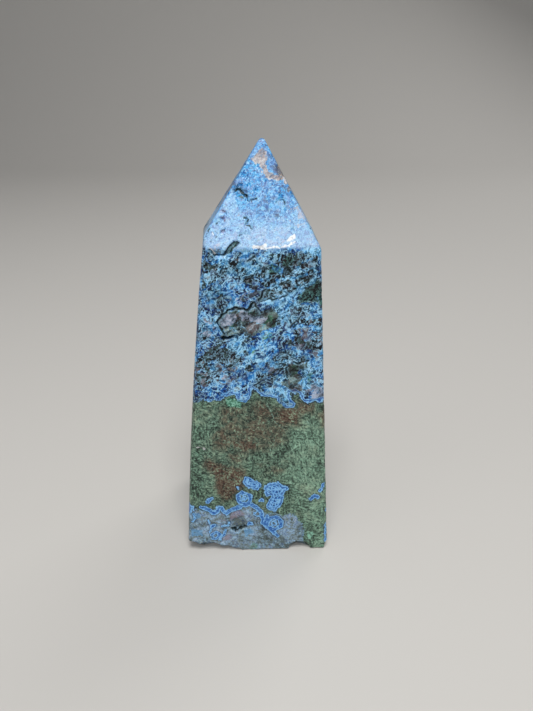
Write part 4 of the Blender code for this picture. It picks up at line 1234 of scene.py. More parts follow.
@dataclass
class NodeBench:
    """Short ways to add nodes to one material."""

    material: bpy.types.Material

    def put(self, kind: str, **settings: object) -> bpy.types.Node:
        """Add a node of a kind and set its properties."""
        node = self.material.node_tree.nodes.new(kind)
        for name, value in settings.items():
            setattr(node, name, value)
        return node

    def feed(self, socket: Socket, value: Feed) -> None:
        """Link a socket to the value if it is a socket, or else set it."""
        if isinstance(value, bpy.types.NodeSocket):
            self.material.node_tree.links.new(value, socket)
        else:
            socket.default_value = value

    def math(self, operation: str, first: Feed, second: Feed = 0.0, clamp: bool = False) -> Socket:
        """A Math node on one or two numbers."""
        node = self.put("ShaderNodeMath", operation=operation, use_clamp=clamp)
        self.feed(node.inputs[0], first)
        self.feed(node.inputs[1], second)
        return node.outputs[0]

    def add(self, *values: Feed) -> Socket:
        """The sum of two or more numbers."""
        total = values[0]
        for value in values[1:]:
            total = self.math("ADD", total, value)
        return total

    def times(self, *values: Feed) -> Socket:
        """The product of two or more numbers."""
        total = values[0]
        for value in values[1:]:
            total = self.math("MULTIPLY", total, value)
        return total

    def vector(self, operation: str, first: Feed, second: Feed) -> Socket:
        """A Vector Math node. For SCALE the second value is the scale."""
        node = self.put("ShaderNodeVectorMath", operation=operation)
        self.feed(node.inputs[0], first)
        self.feed(node.inputs["Scale" if operation == "SCALE" else 1], second)
        return node.outputs[0]

    def ease(self, value: Feed, low: float, high: float) -> Socket:
        """Ease from 0 to 1 as the value goes from low to high."""
        node = self.put("ShaderNodeMapRange", interpolation_type="SMOOTHSTEP", clamp=True)
        self.feed(node.inputs[0], value)
        if low <= high:
            bounds = (low, high, 0.0, 1.0)
        else:
            bounds = (high, low, 1.0, 0.0)
        for socket, number in zip(node.inputs[1:5], bounds):
            socket.default_value = number
        return node.outputs[0]

    def stripe(self, value: Feed, middle: float, half_width: float) -> Socket:
        """1 where the value is at the middle, easing to 0 at half_width on either side."""
        gap = self.math("ABSOLUTE", self.add(value, -middle))
        return self.ease(gap, half_width, half_width * 0.25)

    def mix(self, share: Feed, first: Feed, second: Feed, kind: str = "MIX") -> Socket:
        """Mix two colours, with the share of the second."""
        node = self.put("ShaderNodeMix", data_type="RGBA", blend_type=kind)
        self.feed(node.inputs[0], share)
        self.feed(node.inputs[6], first)
        self.feed(node.inputs[7], second)
        return node.outputs[2]

    def noise(self, place: Socket, per_mm: float, detail: float = 2.0, roughness: float = 0.5,
              twist: float = 0.0, colour: bool = False) -> Socket:
        """Noise with so many features to the millimetre, as a number or as a colour."""
        node = self.put("ShaderNodeTexNoise")
        self.feed(node.inputs["Vector"], place)
        node.inputs["Scale"].default_value = per_mm
        node.inputs["Detail"].default_value = detail
        node.inputs["Roughness"].default_value = roughness
        node.inputs["Distortion"].default_value = twist
        return node.outputs[1 if colour else 0]

    def cells(self, place: Socket, per_mm: float, feature: str = "F1") -> bpy.types.Node:
        """A Voronoi node with so many cells to the millimetre."""
        node = self.put("ShaderNodeTexVoronoi", feature=feature)
        self.feed(node.inputs["Vector"], place)
        node.inputs["Scale"].default_value = per_mm
        return node

    def ramp(self, value: Feed, stops: tuple) -> Socket:
        """A colour ramp. Each stop is a place and a screen colour."""
        node = self.put("ShaderNodeValToRGB")
        self.feed(node.inputs[0], value)
        elements = node.color_ramp.elements
        elements[0].position = stops[0][0]
        elements[0].color = linear(*stops[0][1])
        elements[1].position = stops[-1][0]
        elements[1].color = linear(*stops[-1][1])
        for place, colour in stops[1:-1]:
            elements.new(place).color = linear(*colour)
        return node.outputs[0]

    def draws(self, cells: bpy.types.Node) -> list[Socket]:
        """Three random numbers for each cell, from its colour."""
        node = self.put("ShaderNodeSeparateColor")
        self.feed(node.inputs[0], cells.outputs["Color"])
        return list(node.outputs)

    def less(self, value: Feed, strength: float) -> Socket:
        """1 less the value times the strength."""
        return self.math("SUBTRACT", 1.0, self.times(value, strength))

    def about(self, value: Feed, strength: float) -> Socket:
        """The value's distance above one half, times the strength."""
        return self.times(self.add(value, -0.5), strength)

    def stretched(self, place: Socket, turn: float, scale: tuple[float, float, float]) -> Socket:
        """The place turned by some degrees about the y axis and then scaled along each axis."""
        node = self.put("ShaderNodeMapping", vector_type="POINT")
        self.feed(node.inputs["Vector"], place)
        node.inputs["Rotation"].default_value = (0.0, math.radians(turn), 0.0)
        return self.vector("MULTIPLY", node.outputs[0], scale)

    def field(self, name: str) -> Socket:
        """A named field of the surface."""
        return self.put("ShaderNodeAttribute", attribute_name=name).outputs["Fac"]

    def swirl(self, place: Socket, per_mm: float, amount: float) -> Socket:
        """Move the place by coloured noise, up to the amount in millimetres either way."""
        move = self.vector("SUBTRACT", self.noise(place, per_mm, 2.0, colour=True), (0.5, 0.5, 0.5))
        return self.vector("ADD", place, self.vector("SCALE", move, 2.0 * amount))


BODY_STOPS = (
    (0.10, (5, 9, 14)), (0.26, (8, 22, 44)), (0.35, (8, 44, 100)), (0.44, (12, 76, 154)),
    (0.52, (28, 102, 174)), (0.60, (58, 134, 196)), (0.69, (30, 122, 208)),
    (0.79, (98, 180, 228)), (0.92, (170, 218, 244)),
)
TEAL_STOPS = (
    (0.10, (5, 9, 12)), (0.26, (12, 22, 28)), (0.36, (18, 50, 68)), (0.45, (36, 84, 112)),
    (0.53, (56, 112, 146)), (0.62, (88, 144, 174)), (0.71, (48, 124, 188)),
    (0.80, (108, 178, 218)), (0.92, (168, 214, 236)),
)
# The pyramid's colours, paler than the body's: partly its own colour, partly painted light on the
# upward-tilted faces.
CAP_STOPS = (
    (0.10, (8, 60, 120)), (0.26, (12, 98, 168)), (0.38, (24, 134, 202)), (0.50, (52, 160, 218)),
    (0.62, (92, 182, 226)), (0.74, (138, 206, 236)), (0.90, (190, 226, 242)),
)
# Near-black colours for the lowest tone; over the open cells they are painted shade.
BLACK_AND_SHADE_STOPS = (
    (0.10, (6, 8, 8)), (0.40, (14, 18, 20)), (0.52, (38, 30, 30)), (0.62, (18, 32, 28)),
    (0.80, (46, 64, 62)),
)
LEAF_STOPS = (
    (0.20, (6, 16, 12)), (0.38, (14, 34, 26)), (0.50, (30, 68, 50)), (0.62, (54, 104, 78)),
    (0.80, (100, 156, 126)),
)
CLAY_STOPS = (
    (0.20, (48, 54, 66)), (0.38, (90, 104, 122)), (0.50, (118, 134, 156)),
    (0.62, (146, 158, 180)), (0.80, (178, 184, 202)),
)
TAN_STOPS = (
    (0.15, (66, 74, 92)), (0.34, (112, 104, 104)), (0.50, (150, 132, 118)),
    (0.66, (178, 158, 142)), (0.85, (212, 202, 190)),
)
MOSS_STOPS = (
    (0.20, (14, 20, 18)), (0.40, (46, 58, 52)), (0.52, (80, 96, 88)), (0.64, (112, 130, 120)),
    (0.80, (150, 170, 164)),
)
UMBER_STOPS = (
    (0.20, (10, 8, 8)), (0.42, (38, 30, 30)), (0.54, (72, 60, 58)), (0.66, (98, 90, 92)),
    (0.80, (140, 144, 152)),
)
DEEP_STOPS = (
    (0.20, (6, 30, 60)), (0.38, (8, 62, 124)), (0.50, (16, 98, 172)), (0.62, (42, 134, 206)),
    (0.80, (120, 190, 232)),
)
BAND_STOPS = (
    (0.20, (22, 30, 26)), (0.36, (48, 62, 54)), (0.48, (76, 98, 84)), (0.58, (98, 128, 110)),
    (0.70, (132, 168, 146)), (0.86, (166, 204, 182)),
)
RUST_STOPS = (
    (0.20, (30, 22, 18)), (0.38, (62, 48, 40)), (0.50, (90, 70, 58)), (0.60, (102, 88, 74)),
    (0.72, (122, 128, 106)), (0.86, (150, 180, 152)),
)
FOOT_STOPS = (
    (0.16, (50, 62, 62)), (0.34, (98, 114, 116)), (0.47, (132, 150, 158)),
    (0.56, (132, 166, 196)), (0.65, (166, 178, 194)), (0.84, (192, 222, 240)),
)


@dataclass(frozen=True)
class PolishedStone:
    """The finish of the stone: banded blue, mossy green and grey minerals under a dull polish."""

    ior: float = 1.58
    specular_level: float = 0.2
    coat: float = 0.04
    coat_roughness: float = 0.18
    rim_blue: tuple[int, int, int] = (34, 92, 170)
    rim_pale: tuple[int, int, int] = (136, 192, 236)
    outline_navy: tuple[int, int, int] = (20, 34, 64)
    thread_blue: tuple[int, int, int] = (162, 215, 246)

    def picked(self, bench: NodeBench, tone: Tone, choice: Socket, low: float = 0.30,
               high: float = 0.40) -> Socket:
        """A patch with a ragged edge: its field plus a random choice for each cell, eased."""
        return bench.ease(bench.add(bench.field(tone.value), choice), low, high)

    def blue_colour(self, bench: NodeBench, place: Socket, fine: Socket) -> Socket:
        """Colour of the blue mineral: small cells of mixed tones with pale threads between them.

        The tone is a sum of noises at three widths and a random number for each cell, lower in
        the dark patches and higher in the pale ones. Threads lie along the cells' edges and where
        a wave of slow noise, sin(20 * n), is high. Navy lines lie where it is low.
        """
        swirled = bench.swirl(bench.swirl(place, 0.45, 0.8), 1.4, 0.3)
        slanted = bench.stretched(swirled, 40.0, (0.8, 1.0, 1.1))
        aside = bench.vector("ADD", slanted, (31.0, 7.0, 13.0))
        curly = bench.swirl(aside, 2.4, 0.16)
        grain = bench.noise(place, 3.2, 1.0, 0.6)
        middling = bench.noise(slanted, 0.9, 1.0, 0.5)
        broad = bench.noise(slanted, 0.35, 1.0, 0.5)
        cells = bench.draws(bench.cells(curly, 1.45))
        cell_edge = bench.cells(curly, 1.45, "DISTANCE_TO_EDGE").outputs["Distance"]
        knots = bench.noise(bench.swirl(slanted, 1.1, 0.4), 0.95, 1.0, 0.5)
        wave = bench.math("SINE", bench.times(knots, 20.0))
        dark = bench.field(Tone.DARK.value)
        pale = bench.field(Tone.PALE.value)
        cap = bench.field("cap")
        plain = bench.add(0.47, bench.about(middling, 0.95), bench.about(broad, 1.1),
                          bench.about(grain, 0.45), bench.about(cells[0], 0.30))
        tone = bench.add(plain, bench.times(dark, bench.less(pale, 0.7), -0.52),
                         bench.times(pale, 0.24))
        cap_grain = bench.noise(bench.swirl(place, 1.2, 0.3), 3.0, 2.0, 0.65)
        cap_tone = bench.add(0.36, bench.about(cap_grain, 1.15), bench.about(middling, 0.2),
                             bench.about(cells[0], 0.2), bench.times(dark, -0.30),
                             bench.times(pale, 0.20))
        teal = bench.ease(bench.add(bench.noise(place, 0.13, 1.0), bench.times(dark, 0.1)),
                          0.44, 0.56)
        body = bench.mix(teal, bench.ramp(tone, BODY_STOPS), bench.ramp(tone, TEAL_STOPS))
        # Whitish haze on the pyramid: its pale patches, the painted glare near its foot that the pale
        # field carries, and random patches of painted sheen.
        patchy_sheen = bench.ease(bench.noise(bench.swirl(place, 0.7, 0.5), 0.75, 2.0, 0.6), 0.50, 0.60)
        pale_and_sheen = bench.add(bench.times(pale, 0.50), bench.times(patchy_sheen, 0.16))
        lit_cap = bench.mix(pale_and_sheen, bench.ramp(cap_tone, CAP_STOPS), linear(190, 190, 210))
        # Above the shoulder the pyramid's colours take over; their extra paleness is partly painted
        # light on the upward-tilted faces.
        colour = bench.mix(cap, body, lit_cap)
        choice = bench.add(bench.about(cells[1], 0.6), bench.about(middling, 0.6))
        other = bench.add(bench.about(cells[2], 0.6), bench.about(grain, 0.6))
        vivid = bench.ease(bench.noise(aside, 0.6, 1.0), 0.53, 0.62)
        deep = bench.math("MAXIMUM", self.picked(bench, Tone.DEEP, choice, 0.42, 0.52),
                          bench.times(vivid, bench.less(cap, 1.0), 0.7))
        colour = bench.mix(bench.times(deep, bench.less(cap, 0.4), 0.9), colour,
                           bench.ramp(plain, DEEP_STOPS))
        moss = self.picked(bench, Tone.MOSS, bench.add(other, bench.times(cap, -0.26)),
                           0.42, 0.56)
        mossy = bench.ramp(bench.add(plain, bench.times(cap, -0.14)), MOSS_STOPS)
        colour = bench.mix(bench.times(moss, 0.9), colour, mossy)
        umber = self.picked(bench, Tone.UMBER, choice, 0.38, 0.50)
        colour = bench.mix(bench.times(umber, 0.9), colour, bench.ramp(plain, UMBER_STOPS))
        clay = self.picked(bench, Tone.CLAY, other, 0.44, 0.66)
        fibres = bench.noise(bench.stretched(bench.swirl(place, 0.8, 0.5), 45.0, (0.7, 2.0, 3.2)),
                             1.0, 2.0, 0.5)
        clay_tone = bench.add(plain, bench.about(fibres, 0.9), 0.1)
        tan = bench.mix(pale, bench.ramp(clay_tone, TAN_STOPS), linear(182, 188, 208))
        clay_colour = bench.mix(cap, bench.ramp(clay_tone, CLAY_STOPS), tan)
        colour = bench.mix(bench.times(clay, bench.less(cap, 0.12), 0.9), colour, clay_colour)
        specks = bench.ease(bench.add(bench.times(cells[2], 0.3), bench.noise(place, 0.5, 1.0)),
                            0.70, 0.80)
        specks = bench.times(specks, bench.less(cap, 1.0), 0.6)
        colour = bench.mix(specks, colour, bench.ramp(plain, UMBER_STOPS))
        leaf = self.picked(bench, Tone.LEAF, choice, 0.42, 0.52)
        colour = bench.mix(bench.times(leaf, 0.85), colour, bench.ramp(plain, LEAF_STOPS))
        # Where the tone is lowest, in the dark patches and most of all over the open cells, the
        # colour turns near-black; over the open cells this is painted shade.
        depth = bench.add(tone, bench.times(dark, -0.07))
        hollow = bench.times(bench.ease(depth, 0.24, 0.17), bench.less(cap, 0.7),
                             bench.less(leaf, 0.4))
        colour = bench.mix(hollow, colour, bench.ramp(cells[1], BLACK_AND_SHADE_STOPS))

        calm = bench.times(bench.less(clay, 0.9), bench.less(dark, 0.4), bench.less(moss, 0.8),
                           bench.less(umber, 0.45), bench.less(leaf, 0.2), bench.less(deep, 0.2))
        regional = bench.add(0.3, bench.times(bench.ease(broad, 0.40, 0.58), 0.7))
        navy = bench.times(bench.ease(wave, -0.6, -0.95), calm, regional, bench.less(cap, 0.8),
                           0.65)
        colour = bench.mix(navy, colour, linear(10, 24, 50))
        threads = bench.times(bench.ease(wave, 0.62, 0.92), calm, regional, bench.less(cap, 0.7),
                              0.75)
        leafy = bench.times(bench.ease(bench.field(Tone.LEAF.value), 0.0, 0.25), 0.8)
        thread = bench.mix(cap, linear(*self.thread_blue), linear(158, 212, 244))
        thread = bench.mix(leafy, thread, linear(88, 150, 132))
        colour = bench.mix(threads, colour, thread)
        edges = bench.times(bench.ease(cell_edge, 0.15, 0.06), bench.ease(fine, 0.46, 0.57), calm,
                            bench.add(0.4, bench.times(regional, 0.6)), bench.less(cap, 0.35), 0.95)
        vein = bench.ease(bench.add(bench.field("vein"), bench.about(fine, 0.4)), -0.06, 0.06)
        edges = bench.math("MAXIMUM", edges, bench.times(vein, 0.75))
        colour = bench.mix(edges, colour, thread)
        dots = bench.cells(bench.swirl(place, 1.5, 0.25), 1.6).outputs["Distance"]
        dots = bench.times(bench.ease(dots, 0.34, 0.20), bench.ease(fine, 0.38, 0.48), cap,
                           bench.ease(broad, 0.34, 0.48), bench.less(clay, 1.0),
                           bench.less(pale, 0.4), 0.85)
        return bench.mix(dots, colour, linear(10, 74, 150))

    def band_colour(self, bench: NodeBench, place: Socket, fine: Socket) -> Socket:
        """Colour of the green band: streaky mossy grain with rust patches and pale threads."""
        swirled = bench.swirl(place, 0.7, 0.5)
        upright = bench.noise(bench.stretched(swirled, 8.0, (3.0, 3.0, 0.9)), 1.0, 2.0, 0.6)
        level = bench.noise(bench.stretched(swirled, -12.0, (1.0, 3.0, 3.0)), 1.0, 2.0, 0.6)
        lie = bench.ease(bench.noise(place, 0.16, 1.0), 0.44, 0.56)
        streaks = bench.add(bench.times(upright, bench.less(lie, 1.0)), bench.times(level, lie))
        grain = bench.noise(swirled, 2.3, 2.0, 0.65)
        broad = bench.noise(place, 0.3, 2.0)
        tone = bench.add(0.51, bench.about(streaks, 1.0), bench.about(grain, 0.95),
                         bench.about(broad, 0.5), bench.times(bench.field(Tone.DARK.value), -0.12),
                         bench.times(bench.field(Tone.PALE.value), 0.10))
        rusty = bench.add(bench.field(Tone.RUST.value), bench.about(broad, 1.8),
                          bench.about(grain, 1.6), bench.about(streaks, 1.2), 0.12)
        rust = bench.ease(rusty, 0.05, 0.95)
        colour = bench.mix(rust, bench.ramp(tone, BAND_STOPS),
                           bench.ramp(bench.add(tone, -0.03), RUST_STOPS))
        mint = bench.ease(bench.add(bench.field(Tone.LEAF.value), bench.about(grain, 1.2)),
                          0.35, 0.75)
        colour = bench.mix(bench.times(mint, 0.85), colour,
                           bench.mix(bench.ease(tone, 0.36, 0.64), linear(52, 112, 88),
                                     linear(146, 206, 184)))
        hairs = bench.noise(bench.swirl(place, 0.9, 0.9), 0.9, 1.0, 0.5)
        hairs = bench.times(bench.stripe(hairs, 0.5, 0.035), bench.ease(grain, 0.42, 0.56), 0.5)
        colour = bench.mix(hairs, colour, linear(130, 172, 148))
        vein = bench.ease(bench.add(bench.field("vein"), bench.about(fine, 0.3)), -0.07, 0.05)
        return bench.mix(bench.times(vein, 0.75), colour, linear(142, 176, 160))

    def foot_colour(self, bench: NodeBench, place: Socket) -> Socket:
        """Colour of the grey foot: cloudy grey with lilac, green and blue clouds and pale rings."""
        cloud = bench.noise(bench.swirl(place, 0.6, 0.7), 0.9, 3.0, 0.6)
        grain = bench.noise(place, 2.6, 2.0, 0.6)
        tone = bench.add(0.5, bench.about(cloud, 1.0), bench.about(grain, 0.7))
        colour = bench.ramp(tone, FOOT_STOPS)
        mossy = bench.ease(bench.noise(place, 0.22, 2.0), 0.46, 0.58)
        colour = bench.mix(bench.times(mossy, 0.6), colour, bench.ramp(tone, MOSS_STOPS))
        blue = bench.ease(bench.add(bench.field(Tone.PALE.value), bench.about(cloud, 1.5)),
                          0.35, 0.75)
        colour = bench.mix(bench.times(blue, 0.75), colour, linear(96, 154, 200))
        clay = bench.ease(bench.add(bench.field(Tone.CLAY.value), bench.about(cloud, 1.5)),
                          0.35, 0.75)
        colour = bench.mix(bench.times(clay, 0.65), colour, linear(142, 128, 142))
        for kind, tint in ((Tone.LEAF, (98, 140, 118)), (Tone.MOSS, (102, 112, 106))):
            share = bench.ease(bench.add(bench.field(kind.value), bench.about(cloud, 1.2)),
                               0.35, 0.75)
            colour = bench.mix(bench.times(share, 0.8), colour, linear(*tint))
        knots = bench.noise(bench.swirl(place, 1.0, 0.4), 1.1, 1.0, 0.5)
        wave = bench.math("SINE", bench.times(knots, 20.0))
        rings = bench.times(bench.ease(wave, 0.5, 0.9), bench.ease(cloud, 0.46, 0.56), 0.6)
        colour = bench.mix(rings, colour, linear(142, 186, 218))
        spots = bench.times(bench.ease(wave, -0.6, -0.95), bench.ease(cloud, 0.44, 0.54), 0.55)
        colour = bench.mix(spots, colour, linear(34, 76, 134))
        return bench.mix(bench.times(bench.ease(grain, 0.62, 0.72), 0.4), colour,
                         linear(52, 60, 62))

    def ribbon_colour(self, bench: NodeBench, place: Socket, fine: Socket) -> Socket:
        """Colour inside the blue ribbons: azure cells with navy middles and pale edges."""
        curly = bench.swirl(place, 1.6, 0.3)
        colour = bench.mix(bench.ease(fine, 0.42, 0.58), linear(32, 92, 170),
                           linear(66, 132, 202))
        middle = bench.cells(curly, 1.5).outputs["Distance"]
        edge = bench.cells(curly, 1.5, "DISTANCE_TO_EDGE").outputs["Distance"]
        colour = bench.mix(bench.times(bench.ease(middle, 0.40, 0.20), 0.9), colour,
                           linear(18, 46, 108))
        return bench.mix(bench.times(bench.ease(edge, 0.15, 0.05), 0.9), colour,
                         linear(*self.rim_pale))

    def rimmed(self, bench: NodeBench, outside: Socket, inside: Socket, edge: Socket,
               strength: Feed) -> Socket:
        """Lay one mineral over another with thin bands along its edge.

        Outwards from the inside: a thin pale line, a blue band, a pale rim and a navy outline.
        """
        colour = bench.mix(bench.ease(edge, -0.05, 0.05), outside, inside)
        outline = bench.times(bench.stripe(edge, -0.10, 0.16), strength, 0.75)
        colour = bench.mix(outline, colour, linear(*self.outline_navy))
        blue = bench.times(bench.stripe(edge, 0.34, 0.22), strength, 0.9)
        colour = bench.mix(blue, colour, linear(*self.rim_blue))
        pale = bench.times(bench.stripe(edge, 0.10, 0.16), strength, 0.9)
        colour = bench.mix(pale, colour, linear(*self.rim_pale))
        inner = bench.times(bench.stripe(edge, 0.60, 0.15), strength, 0.75)
        return bench.mix(inner, colour, linear(*self.rim_pale))

    def make(self) -> bpy.types.Material:
        """Build the material.

        Returns:
            The finished material, named after the record's slot.
        """
        material = bpy.data.materials.new(SLOT_NAME)
        material.use_nodes = True
        bench = NodeBench(material)
        shader = material.node_tree.nodes["Principled BSDF"]
        where = bench.put("ShaderNodeTexCoord").outputs["Object"]
        place = bench.vector("SCALE", where, 1.0 / MM)
        fine = bench.noise(bench.swirl(place, 2.0, 0.2), 2.6, 2.0, 0.5)
        grit = bench.noise(place, 5.5, 2.0, 0.6)

        ragged = bench.add(bench.noise(place, 1.4, 3.0, 0.6), -0.5)
        spread = bench.add(0.7, bench.times(bench.noise(place, 0.7, 1.0), 0.6))
        ragged = bench.add(bench.times(ragged, 0.9), bench.about(fine, 0.35))
        lobes = bench.cells(bench.swirl(place, 0.9, 0.3), 0.8).outputs["Distance"]
        blue_edge = bench.add(bench.field("blue"), ragged, 0.22, bench.times(lobes, -0.6))
        blue_edge = bench.times(blue_edge, spread)
        ribbon_edge = bench.times(bench.add(bench.field("ribbon"), ragged, 0.05), spread)
        foot_edge = bench.add(bench.field("foot"), bench.times(ragged, 1.6))
        fitful = bench.times(bench.ease(bench.noise(place, 0.24, 1.0), 0.30, 0.50),
                             bench.add(0.1, bench.times(bench.field("crisp"), 0.9)))

        colour = self.band_colour(bench, place, fine)
        colour = bench.mix(bench.ease(foot_edge, -0.2, 0.2), colour,
                           self.foot_colour(bench, place))
        dotted = bench.times(bench.stripe(foot_edge, 0.05, 0.2), bench.ease(fine, 0.42, 0.58), 0.6)
        colour = bench.mix(dotted, colour, linear(128, 170, 206))
        colour = self.rimmed(bench, colour, self.blue_colour(bench, place, fine), blue_edge,
                             fitful)
        colour = self.rimmed(bench, colour, self.ribbon_colour(bench, place, fine), ribbon_edge,
                             0.8)

        # Painted shade in the hollows: where the relief is deep the colour is multiplied darker, less
        # so on the clay plate; the same share also roughens the gloss.
        relief = bench.field("relief")
        plate = bench.ease(bench.field(Tone.CLAY.value), -0.3, 0.2)
        sunk = bench.times(bench.ease(relief, 0.30, 0.80), bench.less(plate, 0.85))
        shade = bench.mix(1.0, colour, linear(110, 112, 110), "MULTIPLY")
        colour = bench.mix(bench.times(sunk, 0.7), colour, shade)
        rough_line = bench.about(fine, 0.5)
        crack = bench.add(bench.field("crack"), rough_line)
        brim = bench.times(bench.stripe(crack, -0.20, 0.12), 0.35)
        colour = bench.mix(brim, colour, linear(150, 190, 212))
        # Painted shade in the cracks: along each crack's line the colour turns near-black.
        painted_crack_shade = bench.mix(bench.ease(fine, 0.46, 0.62), linear(7, 11, 12), linear(26, 54, 58))
        colour = bench.mix(bench.times(bench.ease(crack, -0.10, 0.02), 0.95), colour, painted_crack_shade)
        # White along the worn edges; on the shoulder ridge it is partly a painted highlight.
        worn_and_sheen = bench.ease(bench.add(bench.field("worn_and_sheen"), rough_line), -0.08, 0.10)
        colour = bench.mix(bench.times(worn_and_sheen, 0.9), colour, linear(236, 238, 238))
        specks = bench.times(bench.ease(grit, 0.59, 0.67), 0.5)
        colour = bench.mix(specks, colour, linear(26, 34, 44))
        glints = bench.times(bench.ease(grit, 0.40, 0.33), bench.field("cap"), 0.3)
        colour = bench.mix(glints, colour, linear(206, 228, 242))
        bench.feed(shader.inputs["Base Color"], colour)

        rough = bench.add(0.27, bench.times(grit, 0.10), bench.times(sunk, 0.35))
        bench.feed(shader.inputs["Roughness"], rough)
        shader.inputs["IOR"].default_value = self.ior
        shader.inputs["Specular IOR Level"].default_value = self.specular_level
        shader.inputs["Coat Weight"].default_value = self.coat
        shader.inputs["Coat Roughness"].default_value = self.coat_roughness
        bump = bench.put("ShaderNodeBump")
        bump.inputs["Strength"].default_value = 0.35
        bump.inputs["Distance"].default_value = 0.00006
        bench.feed(bump.inputs["Height"], bench.add(grit, fine))
        bench.feed(shader.inputs["Normal"], bump.outputs[0])
        return material


@dataclass
class AzuritePoint:
    """The whole stone: its cut, its grid, its relief and its minerals."""

    cut: TowerCut = field(default_factory=TowerCut)
    noise: LatticeNoise = field(default_factory=lambda: LatticeNoise(2309))
    finish: PolishedStone = field(default_factory=PolishedStone)
    tip_fade: float = 3.0

    def surface(self) -> tuple[np.ndarray, dict[str, np.ndarray]]:
        """Work out the rows from under the base to just under the tip, and the fields on them.

        Returns:
            The rows of points in millimetres, and for each field's name its values in the same
            rows and columns.
        """
        grid = TowerGrid(self.cut)
        shares, inward = grid.columns()
        base = shares @ self.cut.base
        lip, inset = grid.rim(base, self.noise)
        upper = grid.upper_rows(shares, lip)
        relief = Relief(self.cut, self.noise)
        flat = upper.reshape(-1, 3)
        deep = relief.surface(flat, self.cut.depths(flat)).reshape(upper.shape[:2])
        fade = np.linspace(0.0, 1.0, 4)
        deep[:4] *= fade[:, None]
        deep *= np.clip((self.cut.height - upper[:, :, 2]) / self.tip_fade, 0.0, 1.0) ** 1.5
        sunk = upper.copy()
        sunk[:, :, :2] += deep[:, :, None] * inward[None]
        chips = grid.chip_surface(base, lip, inset, inward, upper[0], self.noise)
        under = grid.underside(chips[0])[::-1]
        rows = np.concatenate((under, chips, sunk))
        plain = np.concatenate((under, chips, upper))
        fields = MineralMap(self.cut, self.noise, relief.cracks()).fields(plain.reshape(-1, 3))
        lower = np.zeros((len(under) + len(chips), len(inward)))
        lower[len(under):] = 0.3
        fields["relief"] = np.concatenate((lower, deep)).ravel()
        return rows, fields

    def mesh(self) -> bpy.types.Mesh:
        """Join the rows into one closed mesh, with a fan under the base and one at the tip."""
        rows, fields = self.surface()
        row_count, column_count = rows.shape[:2]
        middle = rows[0].mean(axis=0)
        tip = np.array([self.cut.apex_x, self.cut.apex_y, self.cut.height])
        points = (np.concatenate((rows.reshape(-1, 3), [middle, tip])) - BOX_MIDDLE) * MM
        index = np.arange(row_count * column_count).reshape(row_count, column_count)
        after = np.roll(index, -1, axis=1)
        quads = np.stack((index[:-1], after[:-1], after[1:], index[1:]), axis=-1).reshape(-1, 4)
        ground = np.full(column_count, row_count * column_count)
        base_fan = np.stack((ground, after[0], index[0]), axis=1)
        tip_fan = np.stack((index[-1], after[-1], ground + 1), axis=1)
        loops = np.concatenate((quads.ravel(), base_fan.ravel(), tip_fan.ravel()))
        sizes = np.concatenate((np.full(len(quads), 4), np.full(2 * column_count, 3)))
        mesh = bpy.data.meshes.new("stone")
        mesh.vertices.add(len(points))
        mesh.vertices.foreach_set("co", points.astype(np.float32).ravel())
        mesh.loops.add(len(loops))
        mesh.loops.foreach_set("vertex_index", loops.astype(np.int32))
        mesh.polygons.add(len(sizes))
        starts = np.concatenate(([0], np.cumsum(sizes)[:-1]))
        mesh.polygons.foreach_set("loop_start", starts.astype(np.int32))
        mesh.polygons.foreach_set("use_smooth", np.ones(len(sizes), dtype=bool))
        mesh.update(calc_edges=True)
        for name, values in fields.items():
            ends = [values[:column_count].mean(), values[-column_count:].mean()]
            layer = mesh.attributes.new(name, "FLOAT", "POINT")
            layer.data.foreach_set("value", np.concatenate((values, ends)).astype(np.float32))
        mesh.validate()
        return mesh

    def build(self) -> bpy.types.Object:
        """Make the stone's object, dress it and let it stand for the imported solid."""
        mesh = self.mesh()
        mesh.materials.append(self.finish.make())
        stone = bpy.data.objects.new("stone", mesh)
        bpy.context.scene.collection.objects.link(stone)
        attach(stone, BODY_NAME)
        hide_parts(NODE_NAME)
        return stone


@dataclass(frozen=True)
class PaleFloor:
    """A plain pale floor that curves up into a backdrop."""

    half_width: float = 1.2
    front: float = -0.9
    bend_start: float = 0.45
    bend_radius: float = 0.35
    wall_height: float = 1.1
    colour: tuple[int, int, int] = (196, 193, 188)

    def build(self) -> bpy.types.Object:
        """Carry a profile sideways: level floor, a quarter circle of bend_radius, then a wall."""
        angle = np.linspace(0.0, math.pi / 2.0, 24)
        bend_y = self.bend_start + self.bend_radius * np.sin(angle)
        bend_z = self.bend_radius * (1.0 - np.cos(angle))
        depth = np.concatenate(([self.front], bend_y, [bend_y[-1]]))
        rise = np.concatenate(([0.0], bend_z, [self.wall_height]))
        across = np.array([-self.half_width, self.half_width])
        points = np.array([(x, y, z) for y, z in zip(depth, rise) for x in across])
        faces = [(2 * i, 2 * i + 1, 2 * i + 3, 2 * i + 2) for i in range(len(depth) - 1)]
        mesh = bpy.data.meshes.new("floor")
        mesh.from_pydata(points.tolist(), [], faces)
        mesh.shade_smooth()
        material = bpy.data.materials.new("pale_floor")
        material.use_nodes = True
        shader = material.node_tree.nodes["Principled BSDF"]
        shader.inputs["Base Color"].default_value = linear(*self.colour)
        shader.inputs["Roughness"].default_value = 0.75
        shader.inputs["Specular IOR Level"].default_value = 0.2
        mesh.materials.append(material)
        floor = bpy.data.objects.new("floor", mesh)
        bpy.context.scene.collection.objects.link(floor)
        return floor


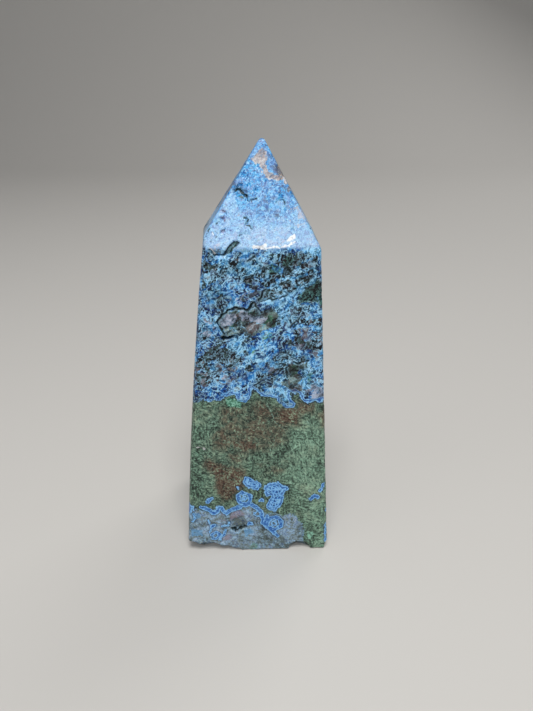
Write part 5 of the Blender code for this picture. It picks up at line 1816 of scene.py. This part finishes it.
@dataclass(frozen=True)
class Studio:
    """Soft lights, a pale surround and the camera."""

    camera_place: tuple[float, float, float] = (-0.00109, -0.10728, 0.09228)
    camera_pitch: float = 26.37
    camera_turn: float = 2.0
    lens: float = 30.38
    surround: float = 0.17

    def lamp(self, name: str, place: tuple[float, float, float], size: float, power: float,
             tint: tuple[float, float, float] = (1.0, 1.0, 1.0)) -> bpy.types.Object:
        """Hang a square soft light that faces the middle of the stone.

        Args:
            name: Name of the light.
            place: Where it hangs, in metres.
            size: Length of its side in metres.
            power: Its power in watts.
            tint: Its colour.

        Returns:
            The light's object.
        """
        data = bpy.data.lights.new(name, "AREA")
        data.shape = "SQUARE"
        data.size = size
        data.energy = power
        data.color = tint
        lamp = bpy.data.objects.new(name, data)
        bpy.context.scene.collection.objects.link(lamp)
        lamp.location = place
        x, y, z = place
        lift = math.atan2(z - 0.045, math.hypot(x, y))
        lamp.rotation_euler = (math.pi / 2.0 - lift, 0.0, math.atan2(x, -y))
        return lamp

    def camera(self) -> bpy.types.Object:
        """Stand the camera where the photograph was taken from."""
        data = bpy.data.cameras.new("camera")
        data.lens = self.lens
        data.sensor_width = 36.0
        data.clip_start = 0.005
        camera = bpy.data.objects.new("camera", data)
        bpy.context.scene.collection.objects.link(camera)
        camera.location = self.camera_place
        camera.rotation_euler = (math.radians(90.0 - self.camera_pitch), 0.0,
                                 math.radians(-self.camera_turn))
        bpy.context.scene.camera = camera
        return camera

    def build(self) -> None:
        """Set up the surround, the lights and the camera."""
        world = bpy.data.worlds.new("surround")
        world.use_nodes = True
        sky = world.node_tree.nodes["Background"]
        sky.inputs["Color"].default_value = (0.92, 0.95, 1.0, 1.0)
        sky.inputs["Strength"].default_value = self.surround
        bpy.context.scene.world = world
        self.lamp("window", (0.0, -0.20, 0.50), 0.22, 2.1)
        self.lamp("front_card", (0.01, -0.40, 0.36), 0.12, 0.55)
        self.lamp("side_fill", (-0.5, -0.3, 0.3), 0.4, 0.35)
        self.lamp("back_fill", (0.35, 0.45, 0.45), 0.4, 1.2)
        self.camera()
        bpy.context.scene.view_settings.view_transform = "Standard"


def main() -> None:
    """Build the stone, the floor and the studio, and report each."""
    logging.basicConfig(level=logging.INFO, format="%(message)s")
    stone = AzuritePoint().build()
    LOG.info("%s: %d faces", stone.name, len(stone.data.polygons))
    floor = PaleFloor().build()
    LOG.info("%s: %d faces", floor.name, len(floor.data.polygons))
    Studio().build()
    LOG.info("studio: lights and camera in place")


if __name__ == "__main__":
    main()
